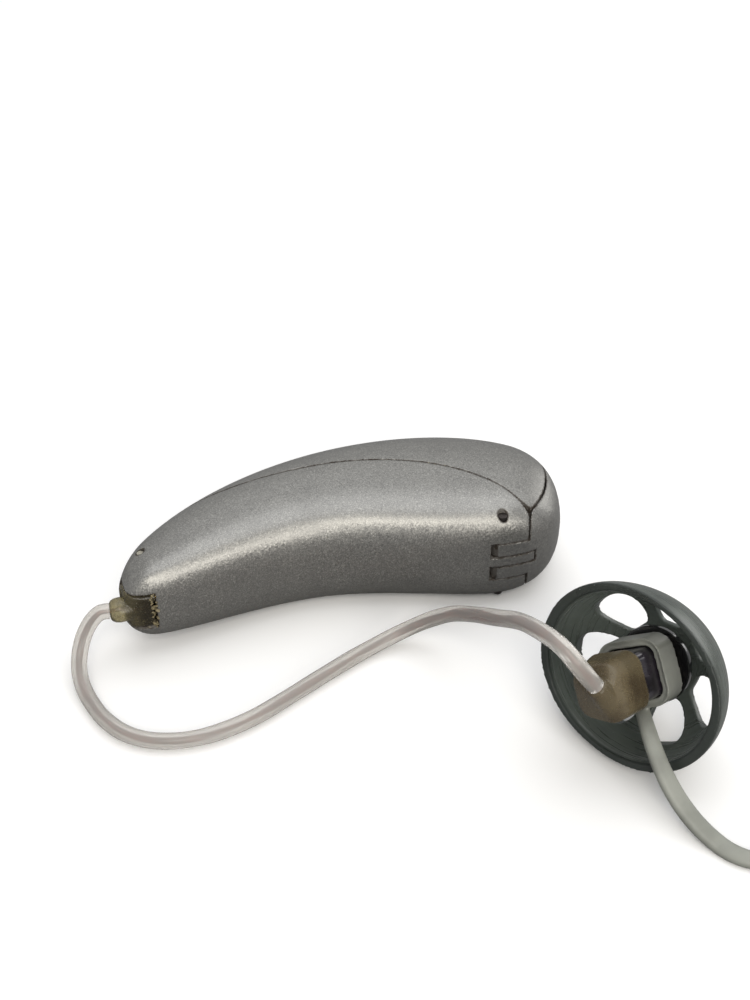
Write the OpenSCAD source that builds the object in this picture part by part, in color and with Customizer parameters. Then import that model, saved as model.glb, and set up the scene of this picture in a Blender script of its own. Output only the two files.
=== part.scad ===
// Receiver-in-canal hearing aid that sits behind the ear, lying on its side.
// X runs along the case from the wire end to the battery door, Y from the concave belly
// to the convex spine, and Z up through the width. The case rests on z = 0.

/* [Case] */
// Length of the case
body_length = 28; // [27.5:0.1:29]
// Depth of the case, from the lowest point of the belly to the top of the spine
body_depth = 11.3; // [11.1:0.1:11.8]
// Width of the case across its two sides
body_width = 7.4; // [7.3:0.05:7.8]
// Thickness of the moulded walls
wall = 0.7; // [0.65:0.01:0.75]
// Depth of the flat that the case lies on
rest_cut = 0.1; // [0.05:0.01:0.15]
// Width of the visible seams between the shells and round the door
seam_gap = 0.08; // [0.05:0.01:0.12]
// Clearance of the parts that seat inside the case
fit_gap = 0.05; // [0.03:0.01:0.08]

/* [Battery and door] */
// Diameter of the button cell
cell_d = 5.8; // [5.7:0.05:5.9]
// Thickness of the button cell
cell_h = 3.6; // [3.4:0.05:3.7]
// Diameter of the hinge pin
hinge_pin_d = 0.6; // [0.5:0.05:0.7]
// Radial clearance of the door on its hinge pin
hinge_play = 0.04; // [0.02:0.01:0.08]
// Radius of the hinge knuckles
knuckle_r = 0.75; // [0.7:0.01:0.8]
// Width of each hinge arm of the door
arm_width = 0.94; // [0.85:0.01:1]
// Width of the fixed knuckle between the two arms
centre_width = 0.8; // [0.7:0.01:0.9]
// Reach of the side cheeks past the hinge pin
cheek_reach = 1.65; // [1.6:0.01:1.7]
// Reach of the fixed middle strip past the hinge pin
strip_reach = 2.1; // [2:0.01:2.15]
// Wall of the ring that carries the cell
ring_wall = 0.37; // [0.3:0.01:0.4]

/* [Button] */
// Length of the push button along the spine
button_length = 5.4; // [4.8:0.1:6]
// Width of the push button
button_width = 2.3; // [2:0.1:2.5]
// Height of the button over the spine
button_rise = 0.3; // [0.2:0.05:0.4]
// Travel of the button
button_travel = 0.3; // [0.2:0.05:0.3]

/* [Electronics] */
// Thickness of the circuit board
board_thick = 0.3; // [0.2:0.05:0.4]
// Length of the signal processor package
chip_length = 3.8; // [3.2:0.1:4.2]
// Width of the signal processor package
chip_width = 2.6; // [2:0.1:2.8]
// Height of the signal processor package
chip_height = 0.9; // [0.7:0.05:1]
// Length of each microphone
mic_length = 2.6; // [2.2:0.1:2.8]
// Width of each microphone
mic_width = 1.8; // [1.6:0.1:2]
// Height of each microphone
mic_height = 1; // [0.8:0.05:1.1]
// Length of the telecoil
coil_length = 4.4; // [3.6:0.1:4.8]
// Diameter of the telecoil winding
coil_d = 1.1; // [0.9:0.05:1.2]

/* [Plug and wire] */
// Width of the receiver plug
plug_width = 2.5; // [2.3:0.05:2.7]
// Diameter of the clear wire tube
wire_d = 0.95; // [0.9:0.01:1]
// Diameter of the nose that the wire leaves the plug through
nose_d = 1.5; // [1.4:0.05:1.7]
// Diameter of the locking pin at the tip
tip_pin_d = 0.5; // [0.4:0.05:0.55]

/* [Receiver] */
// Length of the receiver can
can_length = 4.7; // [4.4:0.1:5]
// Width of the receiver can
can_width = 2.9; // [2.7:0.05:3]
// Height of the receiver can
can_height = 2.8; // [2.7:0.05:2.9]
// Length of the boot moulded over the wire end of the can
boot_length = 2; // [1.9:0.1:2.2]
// Wall of the boot round the can
boot_wall = 0.3; // [0.2:0.02:0.34]
// Outer diameter of the sound spout
spout_d = 1.9; // [1.8:0.05:2]
// Bore of the sound spout
spout_bore = 1.2; // [1:0.05:1.3]
// Radial clearance of the dome on the spout
dome_play = 0.04; // [0.02:0.01:0.08]

/* [Dome] */
// Diameter of the open dome at its rim
dome_d = 10.5; // [10:0.1:11]
// Height of the dome from rim to crown
dome_height = 4.6; // [4.4:0.05:4.8]
// Thickness of the silicone skirt
dome_skin = 0.42; // [0.35:0.01:0.5]
// Number of vent windows round the crown
window_count = 7; // [6:1:8]
// Diameter of the stiff hub of the dome
hub_d = 4.4; // [4.2:0.05:4.5]

/* [Retention lock] */
// Length of the collar along the can
collar_length = 1.8; // [1.5:0.1:2]
// Thickness of the collar wall
collar_wall = 0.6; // [0.5:0.02:0.7]
// Width of the retention tail at its widest
tail_width = 1.4; // [1.2:0.05:1.6]
// Thickness of the retention tail
tail_thick = 0.6; // [0.5:0.05:0.7]

/* [Hidden] */

// Height of the case's middle plane over the surface it lies on
mid = body_width / 2 - rest_cut;
// Overrun of every cut
over = 1;
// Reach of a cut that clears the whole case
far = 40;
// Smoothness of round parts
round_fn = 48;

// Control points of the spine line, as shares of the case's length and depth
spine_shares = [[-0.51, -0.363], [-0.528, -0.091], [-0.267, 0.502], [0.093, 0.545],
    [0.385, 0.581], [0.533, 0.249], [0.477, -0.195]];
// Control points of the belly line, as shares of the case's length and depth
belly_shares = [[-0.51, -0.363], [-0.494, -0.617], [-0.252, -0.245], [-0.0375, -0.289],
    [0.15, -0.328], [0.416, -0.677], [0.477, -0.195]];
// Share of the section's depth, from the belly, at which the case is widest
crest_share = 0.42;
// Squareness of the sections on the spine side and on the belly side
spine_power = 2.8;
belly_power = 3.6;
// Share of the full width that the tip starts with
tip_share = 0.45;
// Shares of the length over which the width swells, the tip rounds and the rear rounds
swell_share = 0.55;
tip_round_share = 0.16;
rear_round_share = 0.25;
// Power of the rounding at both ends
end_power = 0.8;
// Number of sections along the case and of sides round each
ring_count = 34;
ring_sides = 28;
// Shares of the length at which the hollow of the case starts and ends
hollow_from_share = 0.08;
hollow_to_share = 0.895;

// Place of the hinge pin, as shares of the case's length and depth
hinge_shares = [0.316, -0.38];
hinge = [hinge_shares.x * body_length, hinge_shares.y * body_depth];
// Place of the locking pin at the tip, as shares of the case's length and depth
tip_pin_shares = [-0.4536, -0.212];
tip_pin = [tip_pin_shares.x * body_length, tip_pin_shares.y * body_depth];
// Depth by which both pins sit below the side faces
pin_sink = 0.15;
// Control points of the long seam, as shares; the last point is the tip of the cheek
seam_shares = [[-0.443, 0.035], [-0.339, 0.106], [-0.179, 0.217], [-0.007, 0.206],
    [0.143, 0.177], [0.293, 0.062]];
junction = hinge + [cheek_reach, 0];
// Control points of the door seam, as shares; it starts at the cheek and leaves over the spine
door_shares = [[0.425, -0.274], [0.464, -0.097], [0.4625, 0.08], [0.461, 0.159], [0.479, 0.283]];
// Steps along each seam curve
seam_steps = 14;

// Angles between which the cheek's rounded end runs round the hinge pin
cheek_from = -6;
cheek_to = -66;
// Shares of the length at which the two pins cross the case
hinge_pin_share = 0.78;
tip_pin_share = 0.145;

// Slant from the hinge pin to the centre of the cell
cell_lean = 88;
// Lap of the cell's path over the middle strip, which limits the opening
strip_lap = 0.35;
cell_reach = cell_d / 2 + strip_reach - strip_lap;
cell_centre = hinge + cell_reach * [cos(cell_lean), sin(cell_lean)];
// Clearance of the cell in its ring
cell_play = 0.08;
ring_r = cell_d / 2 + cell_play;
// Lip that keeps the cell in its ring
lip_width = 0.45;
lip_thick = 0.15;
// Angles between which the ring holds the cell
ring_from = -112;
ring_to = 38;
// Angles of the web's two edges on the ring
web_low = -75;
web_high = 20;
web_step = 8;
// Width of the step round the cell's negative side
cell_step = 0.25;
// Radius of the room that the cell needs to swing out
swing_r = cell_reach + cell_d / 2 + fit_gap * 2;
swing_h = cell_h / 2 + lip_thick + fit_gap * 2;
// Width of the relief behind the door's arms
relief_w = knuckle_r + fit_gap;

// Share of the spine at which the button sits, and of the two microphone ports
button_share = 0.5;
front_port_share = 0.29;
rear_port_share = 0.615;
// Size of the port slots and their screens
port_length = 1.9;
port_width = 0.6;
screen_thick = 0.25;
// Drop of the screens under the spine
screen_drop = wall + 0.15;
// Share of the length that the button's form spans to each side of its middle
button_span_share = 0.15;
// Depth of the button's underside, and width of the flange that holds it in
button_foot = 1.45;
button_flange = 0.32;
// Height of the switch's plunger and of its body
plunger_h = 0.5;
switch_h = 1;
switch_top = button_foot + button_travel + fit_gap;
switch_length = button_length * 0.55;
switch_floor = switch_top + plunger_h + switch_h;

// Thickness of the frame's web and of its bulkhead
web_thick = 0.8;
bulkhead_thick = 0.5;
// Gap from the cell's edge to the bulkhead
bulkhead_gap = 0.75;
// Shares of the length between which the frame's web runs
frame_from_share = 0.2;
frame_to_share = 0.68;
// Shares of the length and of the depth between which the circuit board runs
board_from_share = 0.27;
board_to_share = 0.66;
board_low_share = 0.08;
board_high_share = 0.74;
// Places on the board of the processor and of the small parts, along it and across it
chip_shares = [0.49, 0.34];
small_shares = [[0.32, 0.35, 0.38, 0.41], [0.2, 0.36]];
large_shares = [[0.565], [0.18, 0.32, 0.46]];
// Size of the small parts on the board
small_size = 0.5;
// Place of the telecoil, along the case and across it, and the size of its end cheeks
coil_shares = [0.4, 0.42];
coil_cheek = 0.25;
coil_cheek_d = coil_d + 0.4;
// Thickness of the contact springs
spring_thick = 0.15;

// Length and depth of the plug's body, and its height over the belly line
plug_length = 2.1;
plug_depth = 2.1;
plug_centre_shares = [-0.4735, -0.378];
plug_centre = [plug_centre_shares.x * body_length, plug_centre_shares.y * body_depth];
// Length of the plug's nose
nose_length = 0.75;
// Rounding of the plug's corners
plug_round = 0.45;
// Widening of the nose and of the boot where the wire enters
wire_grip = 0.22;
// Length and depth of the socket behind the plug
socket_length = 2.4;
socket_depth = 1.9;
// Front end of the frame's web, just behind the socket
frame_x = plug_centre.x + plug_length / 2 + 3 * fit_gap + socket_length;
// Diameter, length and spacing of the plug's contact pins
contact_d = 0.3;
contact_length = 1.5;
contact_pitch = 0.7;

// Where the dome's rim is centred, and the way the receiver points: turn, dip and roll
receiver_x = 12;
receiver_y = -17.5;
receiver_turn = 36;
receiver_dip = 21;
receiver_roll = -36;
// Length and wall of the hub, and thickness of its stiff flange
hub_length = 2.1;
hub_wall = 0.45;
flange_thick = 0.45;
// Radius of the hole in the dome's crown
crown_r = spout_d / 2 + dome_play + hub_wall;
// Height of the rim's centre, with the skirt a hair over the surface it lies on
skirt_gap = 0.03;
receiver_z = crown_r * cos(receiver_dip) + skirt_gap
    + norm([dome_height * sin(receiver_dip), (dome_d / 2 - crown_r) * cos(receiver_dip)]);
// Place of the can's front face, past the plane of the rim
can_front = 2.6;
can_back = can_front - can_length;
// Length by which the boot reaches over the can
boot_over = can_length / 4;
boot_back = can_back + boot_over - boot_length;
// Diameter of the rounded neck where the boot narrows to the wire
neck_d = can_width * 0.8;
// Rounding of the can and of the boot
can_round = 0.55;
// Lean of the wire's exit from the receiver's axis, and the way it leans
exit_lean = 46.8;
exit_roll = 31.9;
exit_way = [-cos(exit_lean), sin(exit_lean) * sin(exit_roll), sin(exit_lean) * cos(exit_roll)];
exit_length = 1.85;
// Offset of the exit from the middle of the boot's back
exit_offset = [0, -0.98, -0.31];
// Length of the spout past the can
spout_length = 2.7;
// Length, rim and bar width of the wax filter
filter_length = 1;
filter_rim = 0.18;
filter_bar = 0.1;
// Radius of the bead round the dome's rim
bead_r = 0.28;
// Place of the collar along the receiver, from the plane of the rim
collar_at = 0.6;
// Steps of the skirt's curve and round the dome
dome_steps = 14;
dome_fn = 96;
// Inner and outer edge of the vent windows, their corners and half of their angle
window_in = hub_d / 2 + dome_skin / 2;
window_out = dome_d * 0.386;
window_round = 0.4;
window_angle = 15;
// Turn of the first window about the dome's axis
window_turn = 18;

// Route of the wire's centre line, from the plug's nose over the table to the boot
wire_route = [[-14.9, -4.5, 3.6], [-15.4, -4.5, 3.6], [-15.95, -4.6, 3.2], [-16.5, -4.95, 2.5],
    [-16.9, -5.6, 1.7], [-17.05, -6.5, 1.05], [-16.9, -7.5, 0.65], [-16.5, -8.7, 0.5],
    [-15.9, -10, 0.5], [-15, -11.2, 0.5], [-13.8, -12.05, 0.5], [-12.3, -12.5, 0.5],
    [-10.7, -12.55, 0.5], [-9, -12.2, 0.5], [-7.2, -11.5, 0.5], [-5.2, -10.4, 0.5],
    [-3.1, -9.2, 0.5], [-1, -8.05, 0.5], [0.8, -7.35, 0.7], [2.3, -7.2, 1.25],
    [3.55, -7.9, 2.45], [4.55, -9.2, 3.9], [5.3, -11.25, 5.55], [5.85, -13.4, 7.15],
    [6.4, -15.5, 8.7], [6.85, -17.3, 9.6], [7.25, -18.6, 10], [7.65, -19.35, 9.85],
    [8.1, -19.8, 9.3]];
// Sides of the wire tube
wire_sides = 8;

// Control points of the retention tail's centre line, from the collar to its free end
tail_route = [[12.9, -18, 3.4], [12.2, -21.3, 3.9], [12.8, -23.1, 1.1], [14.9, -25.9, 0.35],
    [16.5, -29, 0.35], [21, -27.6, 0.35], [23.5, -24.6, 0.35]];
tail_rings = 26;
tail_sides = 12;
// Share of the tail's width at its root, and shares of its length over which it widens and rounds off
tail_root_share = 0.62;
tail_widen_share = 0.3;
tail_round_share = 0.12;
// Squareness of the tail's section
tail_power = 0.6;

function bezier(p, t) = pow(1 - t, 3) * p[0] + 3 * pow(1 - t, 2) * t * p[1]
    + 3 * (1 - t) * t * t * p[2] + pow(t, 3) * p[3];
function rail(p, t) = t < 0.5 ? bezier([p[0], p[1], p[2], p[3]], 2 * t)
    : bezier([p[3], p[4], p[5], p[6]], 2 * t - 1);
function on_case(shares) = [for (s = shares) [s.x * body_length, s.y * body_depth]];
spine_line = on_case(spine_shares);
belly_line = on_case(belly_shares);
function spine(t) = rail(spine_line, t);
function belly(t) = rail(belly_line, t);
function unit(v) = v / norm(v);
function ease(t, over_share) = sin(90 * min(t / over_share, 1));

// Half of the case's width at share t of its length
function half_width(t) = body_width / 2 * (tip_share + (1 - tip_share) * ease(t, swell_share))
    * pow(ease(t, tip_round_share), end_power) * pow(ease(1 - t, rear_round_share), end_power);

// One egg-shaped section between the two rails, drawn in by inset
function section(t, inset) = let (s = spine(t), b = belly(t), depth = norm(s - b), way = unit(s - b))
    [for (i = [0:ring_sides - 1]) let (a = 360 * i / ring_sides, c = cos(a), k = sin(a),
        power = c >= 0 ? spine_power : belly_power,
        across = sign(c) * pow(abs(c), 2 / power), up = sign(k) * pow(abs(k), 2 / power),
        off = inset + (depth - 2 * inset) * (crest_share
            + (c >= 0 ? 1 - crest_share : crest_share) * across),
        p = b + way * off)
        [p.x, p.y, mid + (half_width(t) - inset) * up]];
function mean(points) = [for (i = [0:2]) [for (p = points) p[i]] * [for (p = points) 1] / len(points)];

// Closed skin over rings of points, with a fan at each end
function skin_points(rings, first, last) = concat([first], [for (r = rings) each r], [last]);
function skin_faces(n, m) = concat(
    [for (j = [0:m - 1]) [0, 1 + j, 1 + (j + 1) % m]],
    [for (i = [0:n - 2], j = [0:m - 1]) let (a = 1 + i * m + j, b = 1 + i * m + (j + 1) % m)
        each [[a, a + m, b], [b, a + m, b + m]]],
    [for (j = [0:m - 1]) let (a = 1 + (n - 1) * m) [a + j, a + m, a + (j + 1) % m]]);

// Shares of the length of the rings, closer together at both ends
function ring_shares(from_share, to_share, n) = [for (i = [1:n])
    from_share + (to_share - from_share) * (1 - cos(180 * i / (n + 1))) / 2];

module case_form(inset = 0, from_share = 0, to_share = 1, count = ring_count) {
    rings = [for (t = ring_shares(from_share, to_share, count)) section(t, inset)];
    first = from_share > 0 ? mean(rings[0]) : [spine(0).x, spine(0).y, mid];
    last = to_share < 1 ? mean(rings[count - 1]) : [spine(1).x, spine(1).y, mid];
    polyhedron(skin_points(rings, first, last), skin_faces(count, ring_sides));
}

module hollow_form() {
    case_form(wall, hollow_from_share, hollow_to_share, ring_count - 6);
}

module rest_plane() {
    translate([-far, -far, -far]) cube([2 * far, 2 * far, far]);
}

// Extrudes a side-view outline through the width between two heights from the middle plane
module through(low = -far, high = far) {
    translate([0, 0, mid + low]) linear_extrude(high - low) children();
}

function seam_curve() = let (p = concat(on_case(seam_shares), [junction]))
    [for (i = [0:2 * seam_steps]) rail(p, i / (2 * seam_steps))];
function door_curve() = let (p = on_case(door_shares))
    concat([for (i = [0:seam_steps]) bezier([junction, p[0], p[1], p[2]], i / seam_steps)],
        [p[3], p[4]]);
function shifted(points, by) = [for (p = points) p + by];
function arc(centre, r, from_a, to_a, n = 8) = [for (i = [0:n])
    let (a = from_a + (to_a - from_a) * i / n) centre + r * [cos(a), sin(a)]];

// Side-view outline under the long seam
module lower_outline() {
    polygon(concat([[-far, seam_curve()[0].y]], seam_curve(), arc(hinge, cheek_reach, cheek_from, cheek_to),
        [[hinge.x, -far], [-far, -far]]));
}

// Side-view outline over the long seam and in front of the door seam
module upper_outline() {
    long = shifted(seam_curve(), [0, seam_gap]);
    door = shifted(door_curve(), [-seam_gap, seam_gap]);
    polygon(concat([[-far, long[0].y]], [for (i = [0:len(long) - 2]) long[i]],
        [for (i = [1:len(door) - 1]) door[i]], [[door[len(door) - 1].x, far], [-far, far]]));
}

// Side-view outline of everything outside the door seam
module door_outline() {
    door = door_curve();
    polygon(concat(arc(hinge, cheek_reach + seam_gap, cheek_to, cheek_from),
        [for (i = [1:len(door) - 1]) door[i]], [[far, door[len(door) - 1].y], [far, -far],
        [hinge.x, -far]]));
}

// Room for the door's two arms, open at the belly
module arm_rooms(grow = 0) {
    for (side = [-1, 1])
        through(side * (centre_width + arm_width) / 2 - arm_width / 2 - grow,
            side * (centre_width + arm_width) / 2 + arm_width / 2 + grow)
            children();
}

module disc(centre, r, low = -far, high = far) {
    translate([centre.x, centre.y, mid + low]) cylinder(r = r, h = high - low, $fn = round_fn);
}

// Belly shell with both side walls, the cheeks of the hinge and its middle knuckle
module lower_shell() {
    strip_half = centre_width / 2;
    color("silver") difference() {
        intersection() {
            case_form();
            union() {
                through() lower_outline();
                intersection() {
                    disc(hinge, strip_reach, -strip_half, strip_half);
                    through() polygon([hinge + [-over, 0], hinge + [far, 0], hinge + [far, -far],
                        hinge + [-over, -far]]);
                }
            }
        }
        difference() {
            hollow_form();
            disc(hinge, knuckle_r);
        }
        arm_rooms(seam_gap) union() {
            translate(hinge) circle(r = knuckle_r + seam_gap, $fn = round_fn);
            polygon([hinge + [0, relief_w], hinge + [far, relief_w], hinge + [far, -far],
                hinge + [-relief_w, -far], hinge + [-relief_w, 0]]);
        }
        disc(hinge, hinge_pin_d / 2);
        disc(tip_pin, tip_pin_d / 2);
        plug_room();
        rest_plane();
    }
}

// The slot at the tip that the plug pushes into
module plug_room() {
    half = plug_width / 2 + fit_gap;
    through(-half, half) polygon([plug_corner() + [0, -far], plug_corner() + [0, plug_depth + fit_gap],
        plug_corner() + [-far, plug_depth + fit_gap], plug_corner() + [-far, -far]]);
}

// Rear lower corner of the plug's slot, in the side view
function plug_corner() = plug_centre + [plug_length / 2 + fit_gap, -plug_depth / 2];

// Places children on the spine at share t, X along it and Y outward
module on_spine(t) {
    way = spine(t + 0.01) - spine(t - 0.01);
    translate([spine(t).x, spine(t).y, mid]) rotate([0, 0, atan2(way.y, way.x)]) children();
}

// A bar with round ends along X, standing along Y from y = low to y = high
module rounded_bar(length, width, low, high) {
    translate([0, high, 0]) rotate([90, 0, 0]) linear_extrude(high - low) union() {
        square([length - width, width], center = true);
        for (side = [-1, 1]) translate([side * (length - width) / 2, 0])
            circle(d = width, $fn = round_fn);
    }
}

module upper_shell() {
    color("silver") difference() {
        intersection() {
            case_form();
            through() upper_outline();
        }
        hollow_form();
        rest_plane();
        disc(hinge, swing_r, -swing_h, swing_h);
        on_spine(button_share) rounded_bar(button_length + 2 * seam_gap, button_width + 2 * seam_gap,
            -button_foot, over);
        for (t = [front_port_share, rear_port_share])
            on_spine(t) rounded_bar(port_length, port_width, -button_foot, over);
    }
}

// Rounded end of the case, with the two hinge arms and the ring that carries the cell
module battery_door() {
    color("silver") difference() {
        intersection() {
            case_form();
            union() {
                through() door_outline();
                cell_ring();
                arm_rooms() union() {
                    polygon([hinge + [0, knuckle_r], hinge + [strip_reach + wall, knuckle_r],
                        hinge + [strip_reach + wall, -far], hinge + [0, -far]]);
                    translate(hinge) circle(r = knuckle_r, $fn = round_fn);
                }
            }
        }
        door_clearances();
        disc(cell_centre, ring_r, -cell_h / 2 - fit_gap);
        disc(cell_centre, ring_r - lip_width);
        disc(hinge, hinge_pin_d / 2 + hinge_play);
        rest_plane();
    }
}

// Everything on the fixed hinge side that the door turns past
module door_clearances() {
    inner = centre_width / 2 + seam_gap / 2;
    outer = centre_width / 2 + arm_width;
    disc(hinge, strip_reach + seam_gap, -inner, inner);
    disc(hinge, cheek_reach + seam_gap, outer, far);
    disc(hinge, cheek_reach + seam_gap, -far, -outer);
}

// Ring that carries the cell, and the web that joins it to the door
module cell_ring() {
    low = -cell_h / 2 - fit_gap - lip_thick;
    high = cell_h / 2 - 2 * lip_thick;
    door = door_curve();
    intersection() {
        disc(cell_centre, ring_r + ring_wall, low, high);
        through() polygon(concat([cell_centre], arc(cell_centre, far, ring_from, ring_to)));
    }
    through(low, high) polygon(concat([cell_centre], arc(cell_centre, ring_r, web_low, web_low + web_step),
        [for (i = [2:seam_steps - 3]) door[i] + [seam_gap * 2, 0]],
        arc(cell_centre, ring_r, web_high - web_step, web_high)));
}

module hinge_pin() {
    pin_half = half_width(hinge_pin_share) - pin_sink * 4;
    color("dimgray") disc(hinge, hinge_pin_d / 2 - fit_gap / 2, -pin_half, pin_half);
}

module tip_pin() {
    pin_half = half_width(tip_pin_share) - pin_sink;
    color("dimgray") disc(tip_pin, tip_pin_d / 2 - fit_gap / 2, -pin_half, pin_half);
}

module battery_cell() {
    color("lightgray") union() {
        disc(cell_centre, cell_d / 2, -cell_h / 2 + cell_step, cell_h / 2);
        disc(cell_centre, cell_d / 2 - 2 * cell_step, -cell_h / 2, cell_h / 2);
    }
}

// Bow of spring that bears on the rim of the cell, from the frame's bulkhead
module battery_contact_plus() {
    rim_x = cell_centre.x - cell_d / 2 - fit_gap - spring_thick;
    root_x = bulkhead_x() + bulkhead_thick;
    half = cell_h / 4;
    foot = 4 * spring_thick;
    color("gold") through(-half, half) union() {
        translate([root_x, cell_centre.y - cell_d / 4]) square([spring_thick, cell_d / 2]);
        translate([root_x, cell_centre.y - cell_d / 4]) square([rim_x - root_x + spring_thick,
            spring_thick]);
        translate([rim_x, cell_centre.y - cell_d / 4]) square([spring_thick, cell_d / 4 + foot]);
    }
}

// Leaf spring that bears on the flat of the cell
module battery_contact_minus() {
    root_x = bulkhead_x() + bulkhead_thick;
    reach = cell_d / 4 + bulkhead_gap;
    leaf = cell_h / 3;
    height = cell_h / 2 + fit_gap;
    color("gold") union() {
        through(height, height + spring_thick) translate([root_x, cell_centre.y])
            square([reach, leaf]);
        through(height - leaf / 2, height + spring_thick) translate([root_x, cell_centre.y])
            square([spring_thick, leaf]);
    }
}

// Front face of the bulkhead between the cell and the electronics
function bulkhead_x() = cell_centre.x - cell_d / 2 - bulkhead_gap - bulkhead_thick;

// Side-view outline of the room inside the walls, between two shares of the length
module room_outline(from_share, to_share, low_share, high_share, inset, steps = 14) {
    shares = [for (i = [0:steps]) from_share + (to_share - from_share) * i / steps];
    polygon(concat([for (t = shares) inner_point(t, low_share, inset)],
        [for (i = [steps:-1:0]) inner_point(shares[i], high_share, inset)]));
}
function inner_point(t, share, inset) = let (s = spine(t), b = belly(t), way = unit(s - b))
    b + way * (inset + share * (norm(s - b) - 2 * inset));

module inner_frame() {
    inset = wall + fit_gap;
    color("dimgray") difference() {
        intersection() {
            case_form(inset, hollow_from_share, hollow_to_share, 16);
            union() {
                through(-web_thick / 2, web_thick / 2) intersection() {
                    room_outline(frame_from_share, frame_to_share, 0, 1, inset);
                    translate([frame_x, -far])
                        square([bulkhead_x() + bulkhead_thick - frame_x, 2 * far]);
                }
                translate([bulkhead_x(), -far, mid - cell_h / 2]) cube([bulkhead_thick, 2 * far, cell_h]);
            }
        }
        on_spine(button_share) cube([switch_length + 2 * fit_gap, 2 * switch_floor, far], center = true);
        on_spine(button_share) cube([button_length + 4 * wall, 2 * switch_top, far], center = true);
        for (t = [front_port_share, rear_port_share]) on_spine(t)
            cube([mic_length + 2 * fit_gap, 2 * (mic_top() + mic_height + fit_gap), far], center = true);
    }
}
function mic_top() = screen_drop + screen_thick + fit_gap;

// Key cap that stands in the spine, with a flange that keeps it from falling out
module push_button() {
    from_share = button_share - button_span_share;
    to_share = button_share + button_span_share;
    color("silver") union() {
        intersection() {
            case_form(-button_rise, from_share, to_share, 12);
            on_spine(button_share) rounded_bar(button_length, button_width, -button_foot, over);
        }
        intersection() {
            case_form(wall + 2 * fit_gap, from_share, to_share, 12);
            on_spine(button_share) rounded_bar(button_length + 2 * button_flange,
                button_width + 2 * button_flange, -button_foot, over);
        }
    }
}

module button_switch() {
    plunger = switch_length / 3;
    color("dimgray") on_spine(button_share) union() {
        translate([0, -switch_top - plunger_h - switch_h / 2, 0])
            cube([switch_length, switch_h, button_width], center = true);
        rounded_bar(plunger, plunger - seam_gap, -switch_top - plunger_h, -switch_top);
    }
}

module circuit_board() {
    low = web_thick / 2;
    color("darkgreen") difference() {
        through(low, low + board_thick) intersection() {
            room_outline(board_from_share, board_to_share, board_low_share, board_high_share,
                wall + 2 * fit_gap);
            translate([-far + bulkhead_x() - fit_gap, -far]) square([far, 2 * far]);
        }
        on_spine(button_share) cube([switch_length + 2 * fit_gap, 2 * switch_floor, far], center = true);
        on_spine(front_port_share)
            cube([mic_length + 2 * fit_gap, 2 * (mic_top() + mic_height + fit_gap), far], center = true);
    }
}

// Places children on the board, at a share of the length and of the depth
module on_board(shares) {
    t = shares.x;
    p = inner_point(t, shares.y, wall);
    way = spine(t + 0.01) - spine(t - 0.01);
    translate([p.x, p.y, mid + web_thick / 2 + board_thick]) rotate([0, 0, atan2(way.y, way.x)])
        children();
}

module signal_processor() {
    rim = 0.1;
    color("black") on_board(chip_shares) union() {
        translate([-chip_length / 2, -chip_width / 2, 0]) cube([chip_length, chip_width,
            chip_height / 2]);
        translate([-chip_length / 2 + rim, -chip_width / 2 + rim, 0])
            cube([chip_length - 2 * rim, chip_width - 2 * rim, chip_height]);
    }
}

module board_components() {
    size = small_size;
    color("tan") union() {
        for (t = small_shares[0], across = small_shares[1])
            on_board([t, across]) translate([-size / 2, -size / 4, 0]) cube([size, size / 2, size / 2]);
        for (t = large_shares[0], across = large_shares[1])
            on_board([t, across]) translate([-size, -size / 2, 0]) cube([2 * size, size, size]);
    }
}

// Microphone can with its sound port, hung under the spine
module microphone(t) {
    top = -mic_top();
    color("goldenrod") on_spine(t) difference() {
        translate([-mic_length / 2, top - mic_height, -mic_width / 2])
            cube([mic_length, mic_height, mic_width]);
        rotate([90, 0, 0]) translate([0, 0, -top - over])
            cylinder(d = port_width, h = over + mic_height / 3, $fn = round_fn);
    }
}
module front_microphone() { microphone(front_port_share); }
module rear_microphone() { microphone(rear_port_share); }

// Woven screen in a frame, just under the slot of each port
module port_screen(t) {
    rim = 0.2;
    bars = 5;
    bar = 0.08;
    low = -screen_drop - screen_thick;
    color("black") on_spine(t) union() {
        difference() {
            rounded_bar(port_length + 2 * rim, port_width + 2 * rim, low, -screen_drop);
            rounded_bar(port_length, port_width, low - over, over);
        }
        for (i = [1:bars]) translate([port_length * (i / (bars + 1) - 0.5) - bar / 2, low,
            -port_width / 2 - rim / 2]) cube([bar, screen_thick / 2, port_width + rim]);
    }
}
module front_port_screen() { port_screen(front_port_share); }
module rear_port_screen() { port_screen(rear_port_share); }

// Coil of fine wire on a rod, under the frame's web
module telecoil() {
    drop = web_thick / 2 + coil_cheek_d / 2;
    p = inner_point(coil_shares.x, coil_shares.y, wall);
    way = spine(coil_shares.x + 0.01) - spine(coil_shares.x - 0.01);
    color("sienna") translate([p.x, p.y, mid - drop]) rotate([0, 0, atan2(way.y, way.x)])
        rotate([0, 90, 0]) translate([0, 0, -coil_length / 2]) union() {
            cylinder(d = coil_d, h = coil_length, $fn = round_fn);
            for (at = [0, coil_length - coil_cheek]) translate([0, 0, at])
                cylinder(d = coil_cheek_d, h = coil_cheek, $fn = round_fn);
        }
}

// Block behind the plug, with a hole for each contact pin
module plug_socket() {
    half = plug_width / 2 - 2 * fit_gap;
    corner = [frame_x - fit_gap - socket_length, plug_centre.y - plug_depth / 2 + wall + fit_gap];
    color("dimgray") difference() {
        intersection() {
            case_form(wall + fit_gap, hollow_from_share, 2 * frame_from_share, 8);
            through(-half, half) translate(corner) square([socket_length, socket_depth]);
        }
        contact_pins(contact_d / 2 + fit_gap, over);
    }
}

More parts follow.
